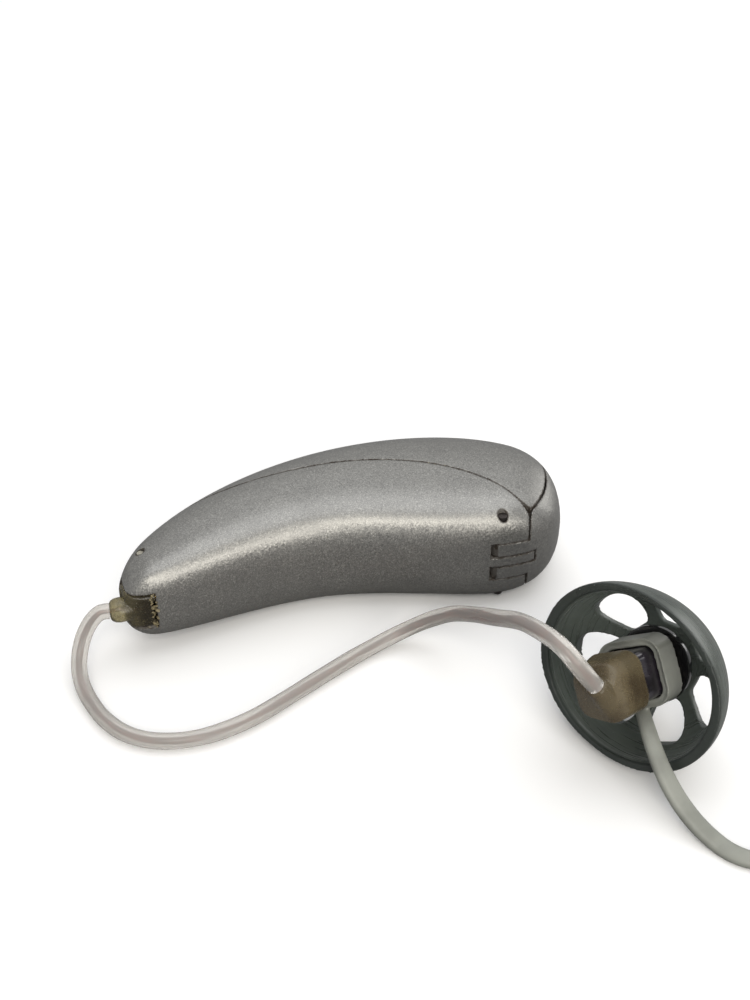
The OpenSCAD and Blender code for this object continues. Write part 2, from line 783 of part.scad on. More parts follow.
// The plug's contact pins, side by side through the width
module contact_pins(r, extra = 0) {
    root = plug_centre + [plug_length / 2, plug_depth / 4];
    for (side = [-1, 0, 1]) translate([root.x, root.y, mid + side * contact_pitch]) rotate([0, 90, 0])
        cylinder(r = r, h = contact_length + extra, $fn = 24);
}

module plug_contacts() {
    color("gold") contact_pins(contact_d / 2);
}

// Clear plug with a rounded back and a nose for the wire
module receiver_plug() {
    half = plug_width / 2;
    color("olive") union() {
        through(-half, half) translate(plug_centre) rounded_square(plug_length, plug_depth, plug_round);
        translate(wire_route[0]) rotate([0, 90, 0])
            cylinder(d1 = wire_d + wire_grip, d2 = nose_d, h = nose_length / 2, $fn = round_fn);
        translate(wire_route[0] + [nose_length / 2, 0, 0]) rotate([0, 90, 0])
            cylinder(d = nose_d, h = nose_length, $fn = round_fn);
    }
}

// The wire's route, with its straight entry into the boot
function full_route() = concat(wire_route, [exit_point() + exit_dir() * wire_d, exit_point()]);

// Frames carried along a line without twist
function way_at(line, i) = let (n = len(line) - 1)
    unit(line[min(i + 1, n)] - line[max(i - 1, 0)]);
function turned(up, way) = unit(up - way * (up * way));
function ups(line, i, up) = i >= len(line) ? [] : let (now = turned(up, way_at(line, i)))
    concat([now], ups(line, i + 1, now));

module receiver_wire() {
    line = full_route();
    lifts = ups(line, 0, [0, 0, 1]);
    rings = [for (i = [0:len(line) - 1]) let (w = way_at(line, i), up = lifts[i], aside = cross(up, w))
        [for (k = [0:wire_sides - 1]) let (a = 360 * (k + 0.5) / wire_sides)
            line[i] + wire_d / 2 * (cos(a) * aside + sin(a) * up)]];
    color("lightgray") polyhedron(skin_points(rings, line[0], line[len(line) - 1]),
        skin_faces(len(line), wire_sides));
}

// Places children in the receiver's own frame: X towards the dome, from the plane of its rim
module on_receiver() {
    translate([receiver_x, receiver_y, receiver_z]) rotate([0, receiver_dip, receiver_turn])
        rotate([receiver_roll, 0, 0]) children();
}
function receiver_axes() = let (c = cos(receiver_turn), s = sin(receiver_turn),
    cd = cos(receiver_dip), sd = sin(receiver_dip))
    [[c * cd, s * cd, -sd], [-s, c, 0], [c * sd, s * sd, cd]];
function from_receiver(p) = let (m = receiver_axes())
    [receiver_x, receiver_y, receiver_z] + p.x * m[0] + p.y * m[1] + p.z * m[2];
function exit_dir() = let (m = receiver_axes())
    exit_way.x * m[0] + exit_way.y * m[1] + exit_way.z * m[2];
function exit_root() = [boot_back, 0, 0] + exit_offset;
function exit_point() = from_receiver(exit_root() + exit_way * exit_length);

// A bar along X with a rounded square section
module rounded_box(from_x, to_x, width, height, r) {
    translate([from_x, 0, 0]) rotate([90, 0, 90]) linear_extrude(to_x - from_x)
        rounded_square(width, height, r);
}
module rounded_square(width, height, r) {
    square([width - 2 * r, height], center = true);
    square([width, height - 2 * r], center = true);
    for (x = [-1, 1], y = [-1, 1]) translate([x * (width / 2 - r), y * (height / 2 - r)])
        circle(r = r, $fn = round_fn);
}

module receiver_can() {
    color("#2b2530") on_receiver() rounded_box(can_back, can_front, can_width, can_height, can_round);
}

// Soft boot over the back of the can, with the strain relief of the wire
module receiver_boot() {
    width = can_width + 2 * boot_wall;
    height = can_height + 2 * boot_wall;
    color("peru") difference() {
        union() {
            on_receiver() hull() {
                rounded_box(boot_back + can_round, can_back + boot_over, width, height,
                    can_round + boot_wall);
                rounded_box(boot_back, boot_back + can_round, width - 2 * can_round,
                    height - 2 * can_round, can_round);
            }
            hull() {
                translate(from_receiver(exit_root() + [neck_d / 4, 0, 0])) sphere(d = neck_d, $fn = 24);
                translate(exit_point() - exit_dir() * wire_d / 2) aim(exit_dir())
                    cylinder(d = wire_d + wire_grip, h = wire_d / 2, $fn = 24);
            }
        }
        on_receiver() rounded_box(can_back, far, can_width, can_height, can_round);
    }
}

// Turns children so that their Z axis points along a direction
module aim(way) {
    rotate([0, acos(way.z), atan2(way.y, way.x)]) children();
}

module sound_spout() {
    root = can_front;
    color("#3a3a40") on_receiver() rotate([0, 90, 0]) translate([0, 0, root]) difference() {
        union() {
            cylinder(d = spout_d, h = spout_length, $fn = round_fn);
            cylinder(d = can_width - can_round, h = flange_thick / 2, $fn = round_fn);
        }
        translate([0, 0, -over]) cylinder(d = spout_bore, h = spout_length + 2 * over, $fn = round_fn);
    }
}

module wax_filter() {
    length = filter_length;
    bar = filter_bar;
    r = spout_bore / 2 - fit_gap / 2;
    color("white") on_receiver() rotate([0, 90, 0]) translate([0, 0, can_front + spout_length - length])
        union() {
            difference() {
                cylinder(r = r, h = length, $fn = round_fn);
                translate([0, 0, -over]) cylinder(r = r - filter_rim, h = length + 2 * over, $fn = round_fn);
            }
            for (a = [0, 90]) rotate([0, 0, a]) translate([-bar / 2, -r + filter_rim / 2, length - 2 * bar])
                cube([bar, 2 * r - filter_rim, bar]);
        }
}

// Where the hub starts on the spout
function hub_at() = can_front + flange_thick;

module dome_hub() {
    bore = spout_d / 2 + dome_play;
    color("#17181a") on_receiver() rotate([0, 90, 0]) translate([0, 0, hub_at()]) difference() {
        union() {
            cylinder(d = hub_d, h = flange_thick, $fn = round_fn);
            cylinder(r = bore + hub_wall, h = hub_length, $fn = round_fn);
        }
        translate([0, 0, -over]) cylinder(r = bore, h = hub_length + 2 * over, $fn = round_fn);
    }
}

// Radius of the skirt at angle a from the rim towards the crown, on its outside and inside
function skirt_point(a, inset) = [crown_r + (dome_d / 2 - crown_r - inset) * cos(a),
    (dome_height - inset) * sin(a)];

module dome() {
    steps = dome_steps;
    outside = [for (i = [0:steps]) skirt_point(90 * i / steps, 0)];
    inside = [for (i = [steps:-1:0]) skirt_point(90 * i / steps, dome_skin)];
    color("#4a5550") on_receiver() rotate([0, 90, 0]) difference() {
        union() {
            rotate_extrude($fn = dome_fn) polygon(concat(outside, inside));
            translate([0, 0, bead_r]) rotate_extrude($fn = dome_fn)
                translate([dome_d / 2 - bead_r, 0]) circle(r = bead_r, $fn = 20);
        }
        for (i = [0:window_count - 1]) rotate([0, 0, 360 * i / window_count + window_turn]) window();
    }
}

// One vent window, a rounded wedge seen along the dome's axis
module window() {
    in_r = window_in;
    out_r = window_out;
    corner = window_round;
    wide = out_r * sin(window_angle);
    narrow = in_r * sin(window_angle) + corner / 2;
    spots = [[in_r + corner, narrow - corner], [out_r - corner, wide - corner]];
    translate([0, 0, -over]) linear_extrude(far) union() {
        for (s = spots, side = [-1, 1]) translate([s.x, side * s.y]) circle(r = corner, $fn = 24);
        polygon([[in_r, -spots[0].y], [in_r, spots[0].y], [spots[0].x, narrow],
            [spots[1].x, wide], [out_r, spots[1].y], [out_r, -spots[1].y],
            [spots[1].x, -wide], [spots[0].x, -narrow]]);
    }
}

// Squarish collar round the can, and the long soft tail that rests in the ear's bowl
module retention_lock() {
    gap = fit_gap;
    w = can_width + 2 * gap;
    h = can_height + 2 * gap;
    color("#c9cdbb") union() {
        on_receiver() difference() {
            rounded_box(collar_at, collar_at + collar_length, w + 2 * collar_wall, h + 2 * collar_wall,
                can_round + collar_wall);
            rounded_box(-far, far, w, h, can_round);
        }
        tail();
    }
}

// Half of the tail's width and of its thickness at share t of its length
function tail_half(t) = tail_width / 2 * (tail_root_share
    + (1 - tail_root_share) * ease(t, tail_widen_share)) * sqrt(ease(1 - t, tail_round_share));
function tail_deep(t) = tail_thick / 2 * sqrt(ease(1 - t, tail_round_share));

module tail() {
    last_share = 0.995;
    line = [for (i = [0:tail_rings]) rail(tail_route, min(i / tail_rings, last_share))];
    rings = [for (i = [0:tail_rings]) let (t = min(i / tail_rings, last_share), w = way_at(line, i),
        up = turned([0, 0, 1], w), aside = cross(up, w))
        [for (k = [0:tail_sides - 1]) let (a = 360 * (k + 0.5) / tail_sides, c = cos(a), h = sin(a))
            line[i] + tail_half(t) * sign(c) * pow(abs(c), tail_power) * aside
                + tail_deep(t) * sign(h) * pow(abs(h), tail_power) * up]];
    polyhedron(skin_points(rings, line[0], line[tail_rings]), skin_faces(tail_rings + 1, tail_sides));
}

lower_shell();
upper_shell();
battery_door();
hinge_pin();
tip_pin();
battery_cell();
battery_contact_plus();
battery_contact_minus();
push_button();
button_switch();
inner_frame();
circuit_board();
signal_processor();
board_components();
front_microphone();
rear_microphone();
front_port_screen();
rear_port_screen();
telecoil();
plug_socket();
receiver_plug();
plug_contacts();
receiver_wire();
receiver_boot();
receiver_can();
sound_spout();
wax_filter();
dome_hub();
dome();
retention_lock();
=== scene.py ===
"""Behind-the-ear hearing aid with a receiver in the canal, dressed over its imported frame."""

import math

import bmesh
import bpy
import numpy as np
from bpy.props import FloatProperty, FloatVectorProperty, IntProperty, PointerProperty
from mathutils import Matrix, Vector
from mathutils.kdtree import KDTree


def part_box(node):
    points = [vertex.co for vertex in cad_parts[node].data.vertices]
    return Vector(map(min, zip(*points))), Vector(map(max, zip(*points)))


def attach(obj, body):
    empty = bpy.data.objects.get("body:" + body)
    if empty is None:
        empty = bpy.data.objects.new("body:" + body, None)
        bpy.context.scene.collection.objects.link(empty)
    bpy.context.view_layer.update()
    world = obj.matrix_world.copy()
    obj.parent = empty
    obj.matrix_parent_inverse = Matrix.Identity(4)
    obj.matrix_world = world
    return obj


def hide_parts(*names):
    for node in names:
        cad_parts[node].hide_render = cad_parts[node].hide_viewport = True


bl_info = {
    "name": "Behind-the-ear hearing aid",
    "version": (1, 0, 0),
    "blender": (4, 5, 0),
    "location": "View3D > Sidebar > Hearing aid",
    "description": "Builds a hearing aid with its wire, receiver, open dome and retention lock",
    "category": "Object",
}

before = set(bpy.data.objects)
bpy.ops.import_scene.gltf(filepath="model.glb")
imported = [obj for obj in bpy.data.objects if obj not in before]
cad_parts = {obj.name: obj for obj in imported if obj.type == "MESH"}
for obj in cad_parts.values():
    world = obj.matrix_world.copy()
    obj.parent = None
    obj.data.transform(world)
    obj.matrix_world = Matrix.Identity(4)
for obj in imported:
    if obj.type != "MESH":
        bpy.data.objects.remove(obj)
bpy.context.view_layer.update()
MM = 0.001


def size(name, text, value):
    """A length in metres that a user may change, given in millimetres."""
    return FloatProperty(name=name, description=text, default=value * MM, unit="LENGTH", precision=5)


def angular(name, text, degrees):
    """An angle that a user may change."""
    return FloatProperty(name=name, description=text, default=math.radians(degrees), subtype="ANGLE")


def tint(name, text, red, green, blue):
    """A colour that a user may change, given as it looks on a screen."""
    return FloatVectorProperty(
        name=name, description=text, subtype="COLOR", size=3, min=0, max=1,
        default=[linear(c) for c in (red, green, blue)],
    )


def linear(shade):
    """One channel of a screen colour, 0 to 255, as light."""
    shade /= 255
    return shade / 12.92 if shade <= 0.04045 else ((shade + 0.055) / 1.055) ** 2.4


class CaseSizes(bpy.types.PropertyGroup):
    length: size("Length", "Length of the case", 28)
    depth: size("Depth", "Depth of the case from belly to spine", 11.3)
    width: size("Width", "Width of the case across its sides", 7.4)
    wall: size("Wall", "Thickness of the moulded walls", 0.7)
    flat: size("Flat", "Depth of the flat that the case lies on", 0.1)
    button_rise: size("Button rise", "Height of the button over the spine", 0.3)
    cell_diameter: size("Cell diameter", "Diameter of the button cell", 5.8)


class WireSizes(bpy.types.PropertyGroup):
    tube: size("Tube", "Diameter of the clear tube", 0.95)
    strand: size("Strand", "Diameter of each conductor", 0.16)
    offset: size("Offset", "Distance of the conductors from the middle of the tube", 0.07)
    pitch: size("Pitch", "Length of one turn of the twisted conductors", 16)
    lean: angular("Lean", "Lean of the wire's end away from the receiver's axis", 46.8)
    side: angular("Side", "Side of the receiver that the wire's end leans to", 31.9)


class ReceiverSizes(bpy.types.PropertyGroup):
    turn: angular("Turn", "Heading of the receiver", 36)
    dip: angular("Dip", "Dip of the receiver below level", 21)
    roll: angular("Roll", "Roll of the can about its axis", -36)
    can_length: size("Can length", "Length of the receiver can", 4.7)
    can_width: size("Can width", "Width of the receiver can", 2.9)
    can_height: size("Can height", "Height of the receiver can", 2.8)
    can_front: size("Can front", "Reach of the can past the plane of the dome's rim", 2.6)
    boot_length: size("Boot length", "Length of the moulded boot", 2)
    boot_over: size("Boot lap", "Length of the boot over the can", 1.175)
    boot_wall: size("Boot wall", "Wall of the boot round the can", 0.28)
    collar_length: size("Collar length", "Length of the lock's collar", 1.8)
    collar_wall: size("Collar wall", "Wall of the lock's collar", 0.45)
    tail_width: size("Tail width", "Width of the retention tail", 1.08)
    tail_thick: size("Tail thickness", "Thickness of the retention tail", 0.6)


class DomeSizes(bpy.types.PropertyGroup):
    diameter: size("Diameter", "Diameter of the dome at its rim", 10.5)
    height: size("Height", "Height of the dome from rim to crown", 4.6)
    skin: size("Skin", "Thickness of the silicone", 0.42)
    crown: size("Crown", "Radius of the hole in the crown", 1.44)
    hub: size("Hub", "Diameter of the stiff hub", 4.4)
    bead: size("Bead", "Radius of the bead round the rim", 0.25)
    window_out: size("Window edge", "Outer edge of the vent windows", 4.3)
    window_half: angular("Window half", "Half of the angle that one window takes", 18.5)
    window_turn: angular("Window turn", "Turn of the first window", 18)
    hang_turn: angular("Hang turn", "Direction in which the skirt hangs widest", 50)
    oval: FloatProperty(name="Oval", description="Share that the skirt is out of round", default=0.085)
    windows: IntProperty(name="Windows", description="Number of vent windows", default=7, min=3, max=8)


class Tints(bpy.types.PropertyGroup):
    lacquer: tint("Lacquer", "Silver of the case", 166, 165, 160)
    lacquer_dark: tint("Lacquer shade", "Darker flakes of the lacquer", 104, 103, 103)
    spark: tint("Spark", "Brightest flakes", 226, 224, 218)
    speck: tint("Speck", "Small pale specks of dirt", 186, 178, 150)
    # Grime also serves as the painted shade in the seams and round the edges of openings
    grime_and_seam_shade: tint("Grime", "Dirt in the seams", 52, 44, 36)
    plug: tint("Plug", "Resin of the plug", 168, 158, 122)
    boot: tint("Boot", "Resin of the boot", 126, 114, 88)
    tube: tint("Tube", "Clear tube of the wire", 222, 219, 214)
    strand: tint("Strand", "Enamelled conductors", 104, 58, 44)
    can: tint("Can", "Plating of the receiver", 52, 46, 56)
    dome: tint("Dome", "Silicone of the dome", 92, 98, 92)
    lock: tint("Lock", "Moulding of the retention lock", 154, 156, 148)


# Shares of the case's length and depth, as in the frame's own model
SPINE = [
    (-0.51, -0.363), (-0.528, -0.091), (-0.267, 0.502), (0.093, 0.545),
    (0.385, 0.581), (0.533, 0.249), (0.477, -0.195),
]
BELLY = [
    (-0.51, -0.363), (-0.494, -0.617), (-0.252, -0.245), (-0.0375, -0.289),
    (0.15, -0.328), (0.416, -0.677), (0.477, -0.195),
]
CREST, SPINE_POWER, BELLY_POWER = 0.42, 2.8, 3.6
TIP, SWELL, TIP_ROUND, REAR_ROUND, END_POWER = 0.45, 0.55, 0.16, 0.25, 0.8

# Places and sizes in millimetres
RIM_CENTRE = (12, -17.5, 5.2947)
WIRE_ROOT, WIRE_OUT = (-0.98, -0.31), 1.85
PLUG_LENGTH, PLUG_WIDTH, PLUG_MIDDLE, PLUG_PAST = 2.1, 2.1, -4.2714, 0.12
CAN_CORNER, HUB_AT, COLLAR_AT = 0.55, 3.05, 0.6
WIRE_ROUTE = [
    (-14.9, -4.5, 3.6), (-15.4, -4.5, 3.6), (-15.95, -4.6, 3.2), (-16.5, -4.95, 2.5),
    (-16.9, -5.6, 1.7), (-17.05, -6.5, 1.05), (-16.9, -7.5, 0.65), (-16.5, -8.7, 0.5),
    (-15.9, -10, 0.5), (-15, -11.2, 0.5), (-13.8, -12.05, 0.5), (-12.3, -12.5, 0.5),
    (-10.7, -12.55, 0.5), (-9, -12.2, 0.5), (-7.2, -11.5, 0.5), (-5.2, -10.4, 0.5),
    (-3.1, -9.2, 0.5), (-1, -8.05, 0.5), (0.8, -7.35, 0.7), (2.3, -7.2, 1.25),
    (3.55, -7.9, 2.45), (4.55, -9.2, 3.9), (5.3, -11.25, 5.55), (5.85, -13.4, 7.15),
    (6.4, -15.5, 8.7), (6.85, -17.3, 9.6), (7.25, -18.6, 10), (7.65, -19.35, 9.85),
    (8.1, -19.8, 9.3),
]
TAIL_ROUTE = [
    (12.9, -18, 3.4), (12.2, -21.3, 3.9), (12.8, -23.1, 1.1), (14.8, -25.5, 0.35),
    (16.4, -28.3, 0.35), (20.8, -27, 0.35), (23.5, -24.4, 0.35),
]

# How the case's facets are set on its form, with lengths in millimetres
SPLITS, FINE_FROM, FINE_NEAR = (0.9, 0.5, 0.32, 0.32, 0.2, 0.14), 0.3, 0.22
SHARP, NEAR_EDGE, MOST_MOVE = math.radians(38), 0.16, 0.12
ON_FORM, FACING, PAST_RAILS, CHUNK = 0.022, 0.4, 0.4, 4000


# ---------------------------------------------------------------- shapes


def bezier(p, t):
    return (1 - t) ** 3 * p[0] + 3 * (1 - t) ** 2 * t * p[1] + 3 * (1 - t) * t * t * p[2] + t**3 * p[3]


def rail(p, t):
    return bezier(p[0:4], 2 * t) if t < 0.5 else bezier(p[3:7], 2 * t - 1)


def side_of(u):
    """The share of a section's depth on the side of the crest where u lies."""
    return np.where(u >= 0, 1 - CREST, CREST)


def rise(t, over):
    """A quarter wave up from 0, flat past over."""
    return np.sin(np.pi / 2 * np.minimum(t / over, 1))


def case_rails(steps):
    """Points of the belly and spine rails, and half of the width, at equal shares of the length."""
    case = bpy.context.scene.aid_case
    scale = np.array([case.length, case.depth])
    spine, belly = np.array(SPINE) * scale, np.array(BELLY) * scale
    shares = np.linspace(0, 1, steps)
    half = case.width / 2 * (TIP + (1 - TIP) * rise(shares, SWELL))
    half = half * rise(shares, TIP_ROUND) ** END_POWER * rise(1 - shares, REAR_ROUND) ** END_POWER
    return np.array([rail(belly, t) for t in shares]), np.array([rail(spine, t) for t in shares]), half


class CaseForm:
    """The egg-shaped loft between the belly and spine rails, as a surface that points can be set on."""

    def __init__(self, steps=420):
        case = bpy.context.scene.aid_case
        self.mid = case.width / 2 - case.flat
        self.belly, self.spine, self.half = case_rails(steps)
        way = self.spine - self.belly
        self.depth = np.linalg.norm(way, axis=1)
        self.way = way / np.maximum(self.depth, 1e-9)[:, None]
        self.way[0], self.way[-1] = self.way[1], self.way[-2]

    def place(self, points, inset):
        """For each point its section's values, its shares of the egg, and how far out it lies."""
        chunks = np.array_split(points, max(1, len(points) // CHUNK))
        found = [self._place(chunk, inset) for chunk in chunks]
        return [np.concatenate(parts) for parts in zip(*found)]

    def _place(self, points, inset):
        rel = points[:, None, :2] - self.belly[None]
        side = rel[..., 0] * self.way[None, :, 1] - rel[..., 1] * self.way[None, :, 0]
        off = (rel * self.way[None]).sum(2)
        fits = (off > -PAST_RAILS * MM) & (off < self.depth[None] + PAST_RAILS * MM)
        turn = (side[:, :-1] * side[:, 1:] <= 0) & fits[:, :-1]
        nearest = np.abs(side + np.where(fits, 0, 1)).argmin(1).clip(0, len(self.half) - 2)
        k = np.where(turn.any(1), turn.argmax(1), nearest)
        rows = np.arange(len(points))
        a, b = side[rows, k], side[rows, k + 1]
        apart = np.abs(a - b) > 1e-12
        f = np.where(apart, a / np.where(apart, a - b, 1), 0).clip(0, 1)
        g = f[:, None]
        belly, way = (v[k] * (1 - g) + v[k + 1] * g for v in (self.belly, self.way))
        depth, half = (v[k] * (1 - f) + v[k + 1] * f for v in (self.depth, self.half))
        away = ((points[:, :2] - belly) * way).sum(1) - inset
        room = np.maximum(depth - 2 * inset, 1e-6)
        up = away / room - CREST
        u = up / side_of(up)
        v = (points[:, 2] - self.mid) / np.maximum(half - inset, 1e-6)
        power = np.where(u >= 0, SPINE_POWER, BELLY_POWER)
        out = (np.abs(u) ** power + np.abs(v) ** power) ** (1 / power)
        return belly, way, room, half, u, v, power, out

    def normals(self, placed):
        """Outward directions of the surface at placed points."""
        belly, way, room, half, u, v, power, out = placed
        along = np.sign(u) * np.abs(u) ** (power - 1) / (room * side_of(u))
        up = np.sign(v) * np.abs(v) ** (power - 1) / np.maximum(half, 1e-6)
        n = np.column_stack([way * along[:, None], up])
        return n / np.maximum(np.linalg.norm(n, axis=1), 1e-9)[:, None]

    def settle(self, points, inset):
        """The points moved straight out or in, onto the surface."""
        belly, way, room, half, u, v, power, out = self.place(points, inset)
        u, v = u / out, v / out
        away = (u * side_of(u) + CREST) * room + inset
        return np.column_stack([belly + way * away[:, None], self.mid + v * (half - inset)])


def case_tip(share=0.3, steps=50, sides=72, sections=400):
    """The case's form at its wire end, as one solid."""
    form, points = CaseForm(sections + 1), []
    angles = np.arange(sides) * 2 * math.pi / sides
    power = np.where(np.cos(angles) >= 0, SPINE_POWER, BELLY_POWER)
    u = np.sign(np.cos(angles)) * np.abs(np.cos(angles)) ** (2 / power)
    v = np.sign(np.sin(angles)) * np.abs(np.sin(angles)) ** (2 / power)
    away = u * side_of(u) + CREST
    for k in range(1, steps + 1):
        i = round(sections * share * k / steps)
        flat = form.belly[i] + form.way[i] * (away * form.depth[i])[:, None]
        points += [(*p, max(form.mid + z, 0)) for p, z in zip(flat, v * form.half[i])]
    return moulded("case_tip_form", [skin("case_tip_form", points, sides)], 0.07, 1)


def polar(radius, angle):
    return radius * math.cos(angle), radius * math.sin(angle)


def new_object(name, data):
    obj = bpy.data.objects.new(name, data)
    bpy.context.scene.collection.objects.link(obj)
    return obj


def from_faces(name, points, faces):
    mesh = bpy.data.meshes.new(name)
    mesh.from_pydata([tuple(p) for p in points], [], faces)
    mesh.update()
    return new_object(name, mesh)


def face_out(obj):
    bm = bmesh.new()
    bm.from_mesh(obj.data)
    bmesh.ops.remove_doubles(bm, verts=bm.verts, dist=1e-7)
    bmesh.ops.recalc_face_normals(bm, faces=bm.faces)
    bm.to_mesh(obj.data)
    bm.free()


def skin(name, points, sides, closed=False):
    """A skin over rings of points, its ends capped unless the last ring joins the first."""
    rings, faces = len(points) // sides, []
    for i in range(rings if closed else rings - 1):
        j = (i + 1) % rings
        for k in range(sides):
            m = (k + 1) % sides
            faces.append((i * sides + k, i * sides + m, j * sides + m, j * sides + k))
    if not closed:
        faces += [tuple(range(sides)), tuple(range((rings - 1) * sides, rings * sides))]
    obj = from_faces(name, points, faces)
    face_out(obj)
    return obj


def smooth_shade(obj, degrees):
    obj.data.polygons.foreach_set("use_smooth", [True] * len(obj.data.polygons))
    obj.data.set_sharp_from_angle(angle=math.radians(degrees))


def settled_copy(name, node, insets):
    """A copy of a case node, its facets split and set on the true curved form and its edges marked."""
    form = CaseForm()
    bm = bmesh.new()
    bm.from_mesh(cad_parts[node].data)
    bmesh.ops.remove_doubles(bm, verts=bm.verts, dist=2e-6)
    bmesh.ops.dissolve_degenerate(bm, edges=bm.edges, dist=1e-6)
    bmesh.ops.triangulate(bm, faces=bm.faces)
    layer = bm.faces.layers.int.new("skin")
    bm.normal_update()
    points = np.array([v.co for v in bm.verts])
    bm.verts.index_update()
    for number, inset in enumerate(insets, 1):
        placed = form.place(points, inset)
        near, normals = np.abs(placed[-1] - 1) < ON_FORM, form.normals(placed)
        for f in bm.faces:
            ids = [v.index for v in f.verts]
            if f[layer] == 0 and near[ids].all():
                facing = np.array(f.normal) @ normals[ids].mean(0)
                if facing * (1 if number == 1 else -1) > FACING:
                    f[layer] = number
    sharp = KDTree(len(bm.edges) * 8)
    count = 0
    for e in bm.edges:
        if len(e.link_faces) == 2 and e.calc_face_angle(0) > SHARP:
            a, b = e.verts[0].co, e.verts[1].co
            steps = min(8, max(2, int((a - b).length / (0.1 * MM))))
            for i in range(steps):
                sharp.insert(a.lerp(b, i / (steps - 1)), count)
                count += 1
    sharp.balance()
    for limit in SPLITS:
        long = []
        for e in bm.edges:
            if e.calc_length() > limit * MM and any(f[layer] for f in e.link_faces):
                middle = (e.verts[0].co + e.verts[1].co) / 2
                if limit >= FINE_FROM or sharp.find(middle)[2] < FINE_NEAR * MM:
                    long.append(e)
        bmesh.ops.subdivide_edges(bm, edges=long, cuts=1)
        split = [f for f in bm.faces if len(f.verts) > 3]
        bmesh.ops.triangulate(bm, faces=split, quad_method="SHORT_EDGE")
    bm.verts.index_update()
    points = np.array([v.co for v in bm.verts])
    for number, inset in enumerate(insets, 1):
        ids = sorted({v.index for f in bm.faces if f[layer] == number for v in f.verts})
        if ids:
            moved = form.settle(points[ids], inset)
            close = np.linalg.norm(moved - points[ids], axis=1) < MOST_MOVE * MM
            points[np.array(ids)[close]] = moved[close]
    for v in bm.verts:
        v.co = points[v.index]
        v.co.z = max(v.co.z, 0)
    bmesh.ops.dissolve_degenerate(bm, edges=bm.edges, dist=1e-6)
    mesh = bpy.data.meshes.new(name)
    bm.to_mesh(mesh)
    edge = [max(0, 1 - sharp.find(v.co)[2] / (NEAR_EDGE * MM)) for v in mesh.vertices]
    mesh.attributes.new("near_edge", "FLOAT", "POINT").data.foreach_set("value", edge)
    mesh.attributes.remove(mesh.attributes["skin"])
    bm.free()
    obj = new_object(name, mesh)
    smooth_shade(obj, 40)
    return obj


def transported(path):
    """Directions along a path with an up and an aside that don't twist."""
    frames, up = [], Vector((0, 0, 1))
    for i, p in enumerate(path):
        way = (path[min(i + 1, len(path) - 1)] - path[max(i - 1, 0)]).normalized()
        up = (up - way * way.dot(up)).normalized()
        frames.append((way, up, up.cross(way)))
    return frames


def sweep(name, path, outline, sides):
    """A closed skin along a path; outline(share, angle) gives the aside and up distances."""
    points = []
    for i, (p, (way, up, aside)) in enumerate(zip(path, transported(path))):
        for k in range(sides):
            x, y = outline(i / (len(path) - 1), 2 * math.pi * (k + 0.5) / sides)
            points.append(p + aside * x + up * y)
    return skin(name, points, sides)


def eased(route, step):
    """A smooth path through the route's points, with a point about every step."""
    n, path = len(route) - 1, []
    for i in range(n):
        a, b, c, d = route[max(i - 1, 0)], route[i], route[i + 1], route[min(i + 2, n)]
        count = max(1, round((c - b).length / step))
        for k in range(count):
            f = k / count
            curve = (2 * a - 5 * b + 4 * c - d) * f * f + (3 * b - a - 3 * c + d) * f**3
            path.append(0.5 * (2 * b + (c - a) * f + curve))
    return path + [route[n]]


def lathe(name, profile, segments, closed=False, unit=MM):
    """A skin turned about X from (along, radius) points, in millimetres unless unit is 1."""
    points = []
    for x, r in profile:
        for k in range(segments):
            points.append((x * unit, *polar(r * unit, 2 * math.pi * k / segments)))
    return skin(name, points, segments, closed)


def rounded_ring(width, height, corner, steps=10):
    points, y, z = [], width / 2 - corner, height / 2 - corner
    for sy, sz, start in ((1, 1, 0), (-1, 1, 90), (-1, -1, 180), (1, -1, 270)):
        for i in range(steps + 1):
            a, b = polar(corner, math.radians(start + 90 * i / steps))
            points.append((sy * y + a, sz * z + b))
    return points


def block(name, low, high, width, height, corner, edge, taper=1.0):
    """A bar along X with rounded corners and rounded ends, their radii in millimetres."""
    corner, edge, rings, points = corner * MM, edge * MM, [], []
    for i in range(7):
        a = math.pi / 2 * i / 6
        rings.append((low + edge * (1 - math.sin(a)), edge * (1 - math.cos(math.pi / 2 - a)), taper))
    rings += [(low + high - x, inset, 1.0) for x, inset, _ in reversed(rings)]
    for x, inset, scale in rings:
        sides = width * scale - 2 * inset, height * scale - 2 * inset
        points += [(x, y, z) for y, z in rounded_ring(*sides, max(corner - inset, 0.02 * MM))]
    return skin(name, points, len(points) // len(rings))


def applied(obj):
    """The object as its modifiers show it, as a plain mesh; the old one goes."""
    bpy.context.view_layer.update()
    mesh = bpy.data.meshes.new_from_object(obj.evaluated_get(bpy.context.evaluated_depsgraph_get()))
    name = obj.name
    drop(obj)
    mesh.name = name
    return new_object(name, mesh)


def drop(obj):
    data = obj.data
    bpy.data.objects.remove(obj)
    if data.users == 0:
        (bpy.data.curves if isinstance(data, bpy.types.Curve) else bpy.data.meshes).remove(data)


def turned(obj, way):
    obj.data.transform(way)
    return obj


def joined(name, forms):
    bm = bmesh.new()
    for form in forms:
        bm.from_mesh(form.data)
        drop(form)
    mesh = bpy.data.meshes.new(name)
    bm.to_mesh(mesh)
    bm.free()
    return new_object(name, mesh)


def moulded(name, forms, voxel, rounds):
    """Forms run together into one soft-edged moulding."""
    obj = joined(name, forms)
    melt = obj.modifiers.new("melt", "REMESH")
    melt.mode, melt.voxel_size, melt.use_smooth_shade = "VOXEL", voxel * MM, True
    soft = obj.modifiers.new("soft", "SMOOTH")
    soft.factor, soft.iterations = 0.5, rounds
    return applied(obj)


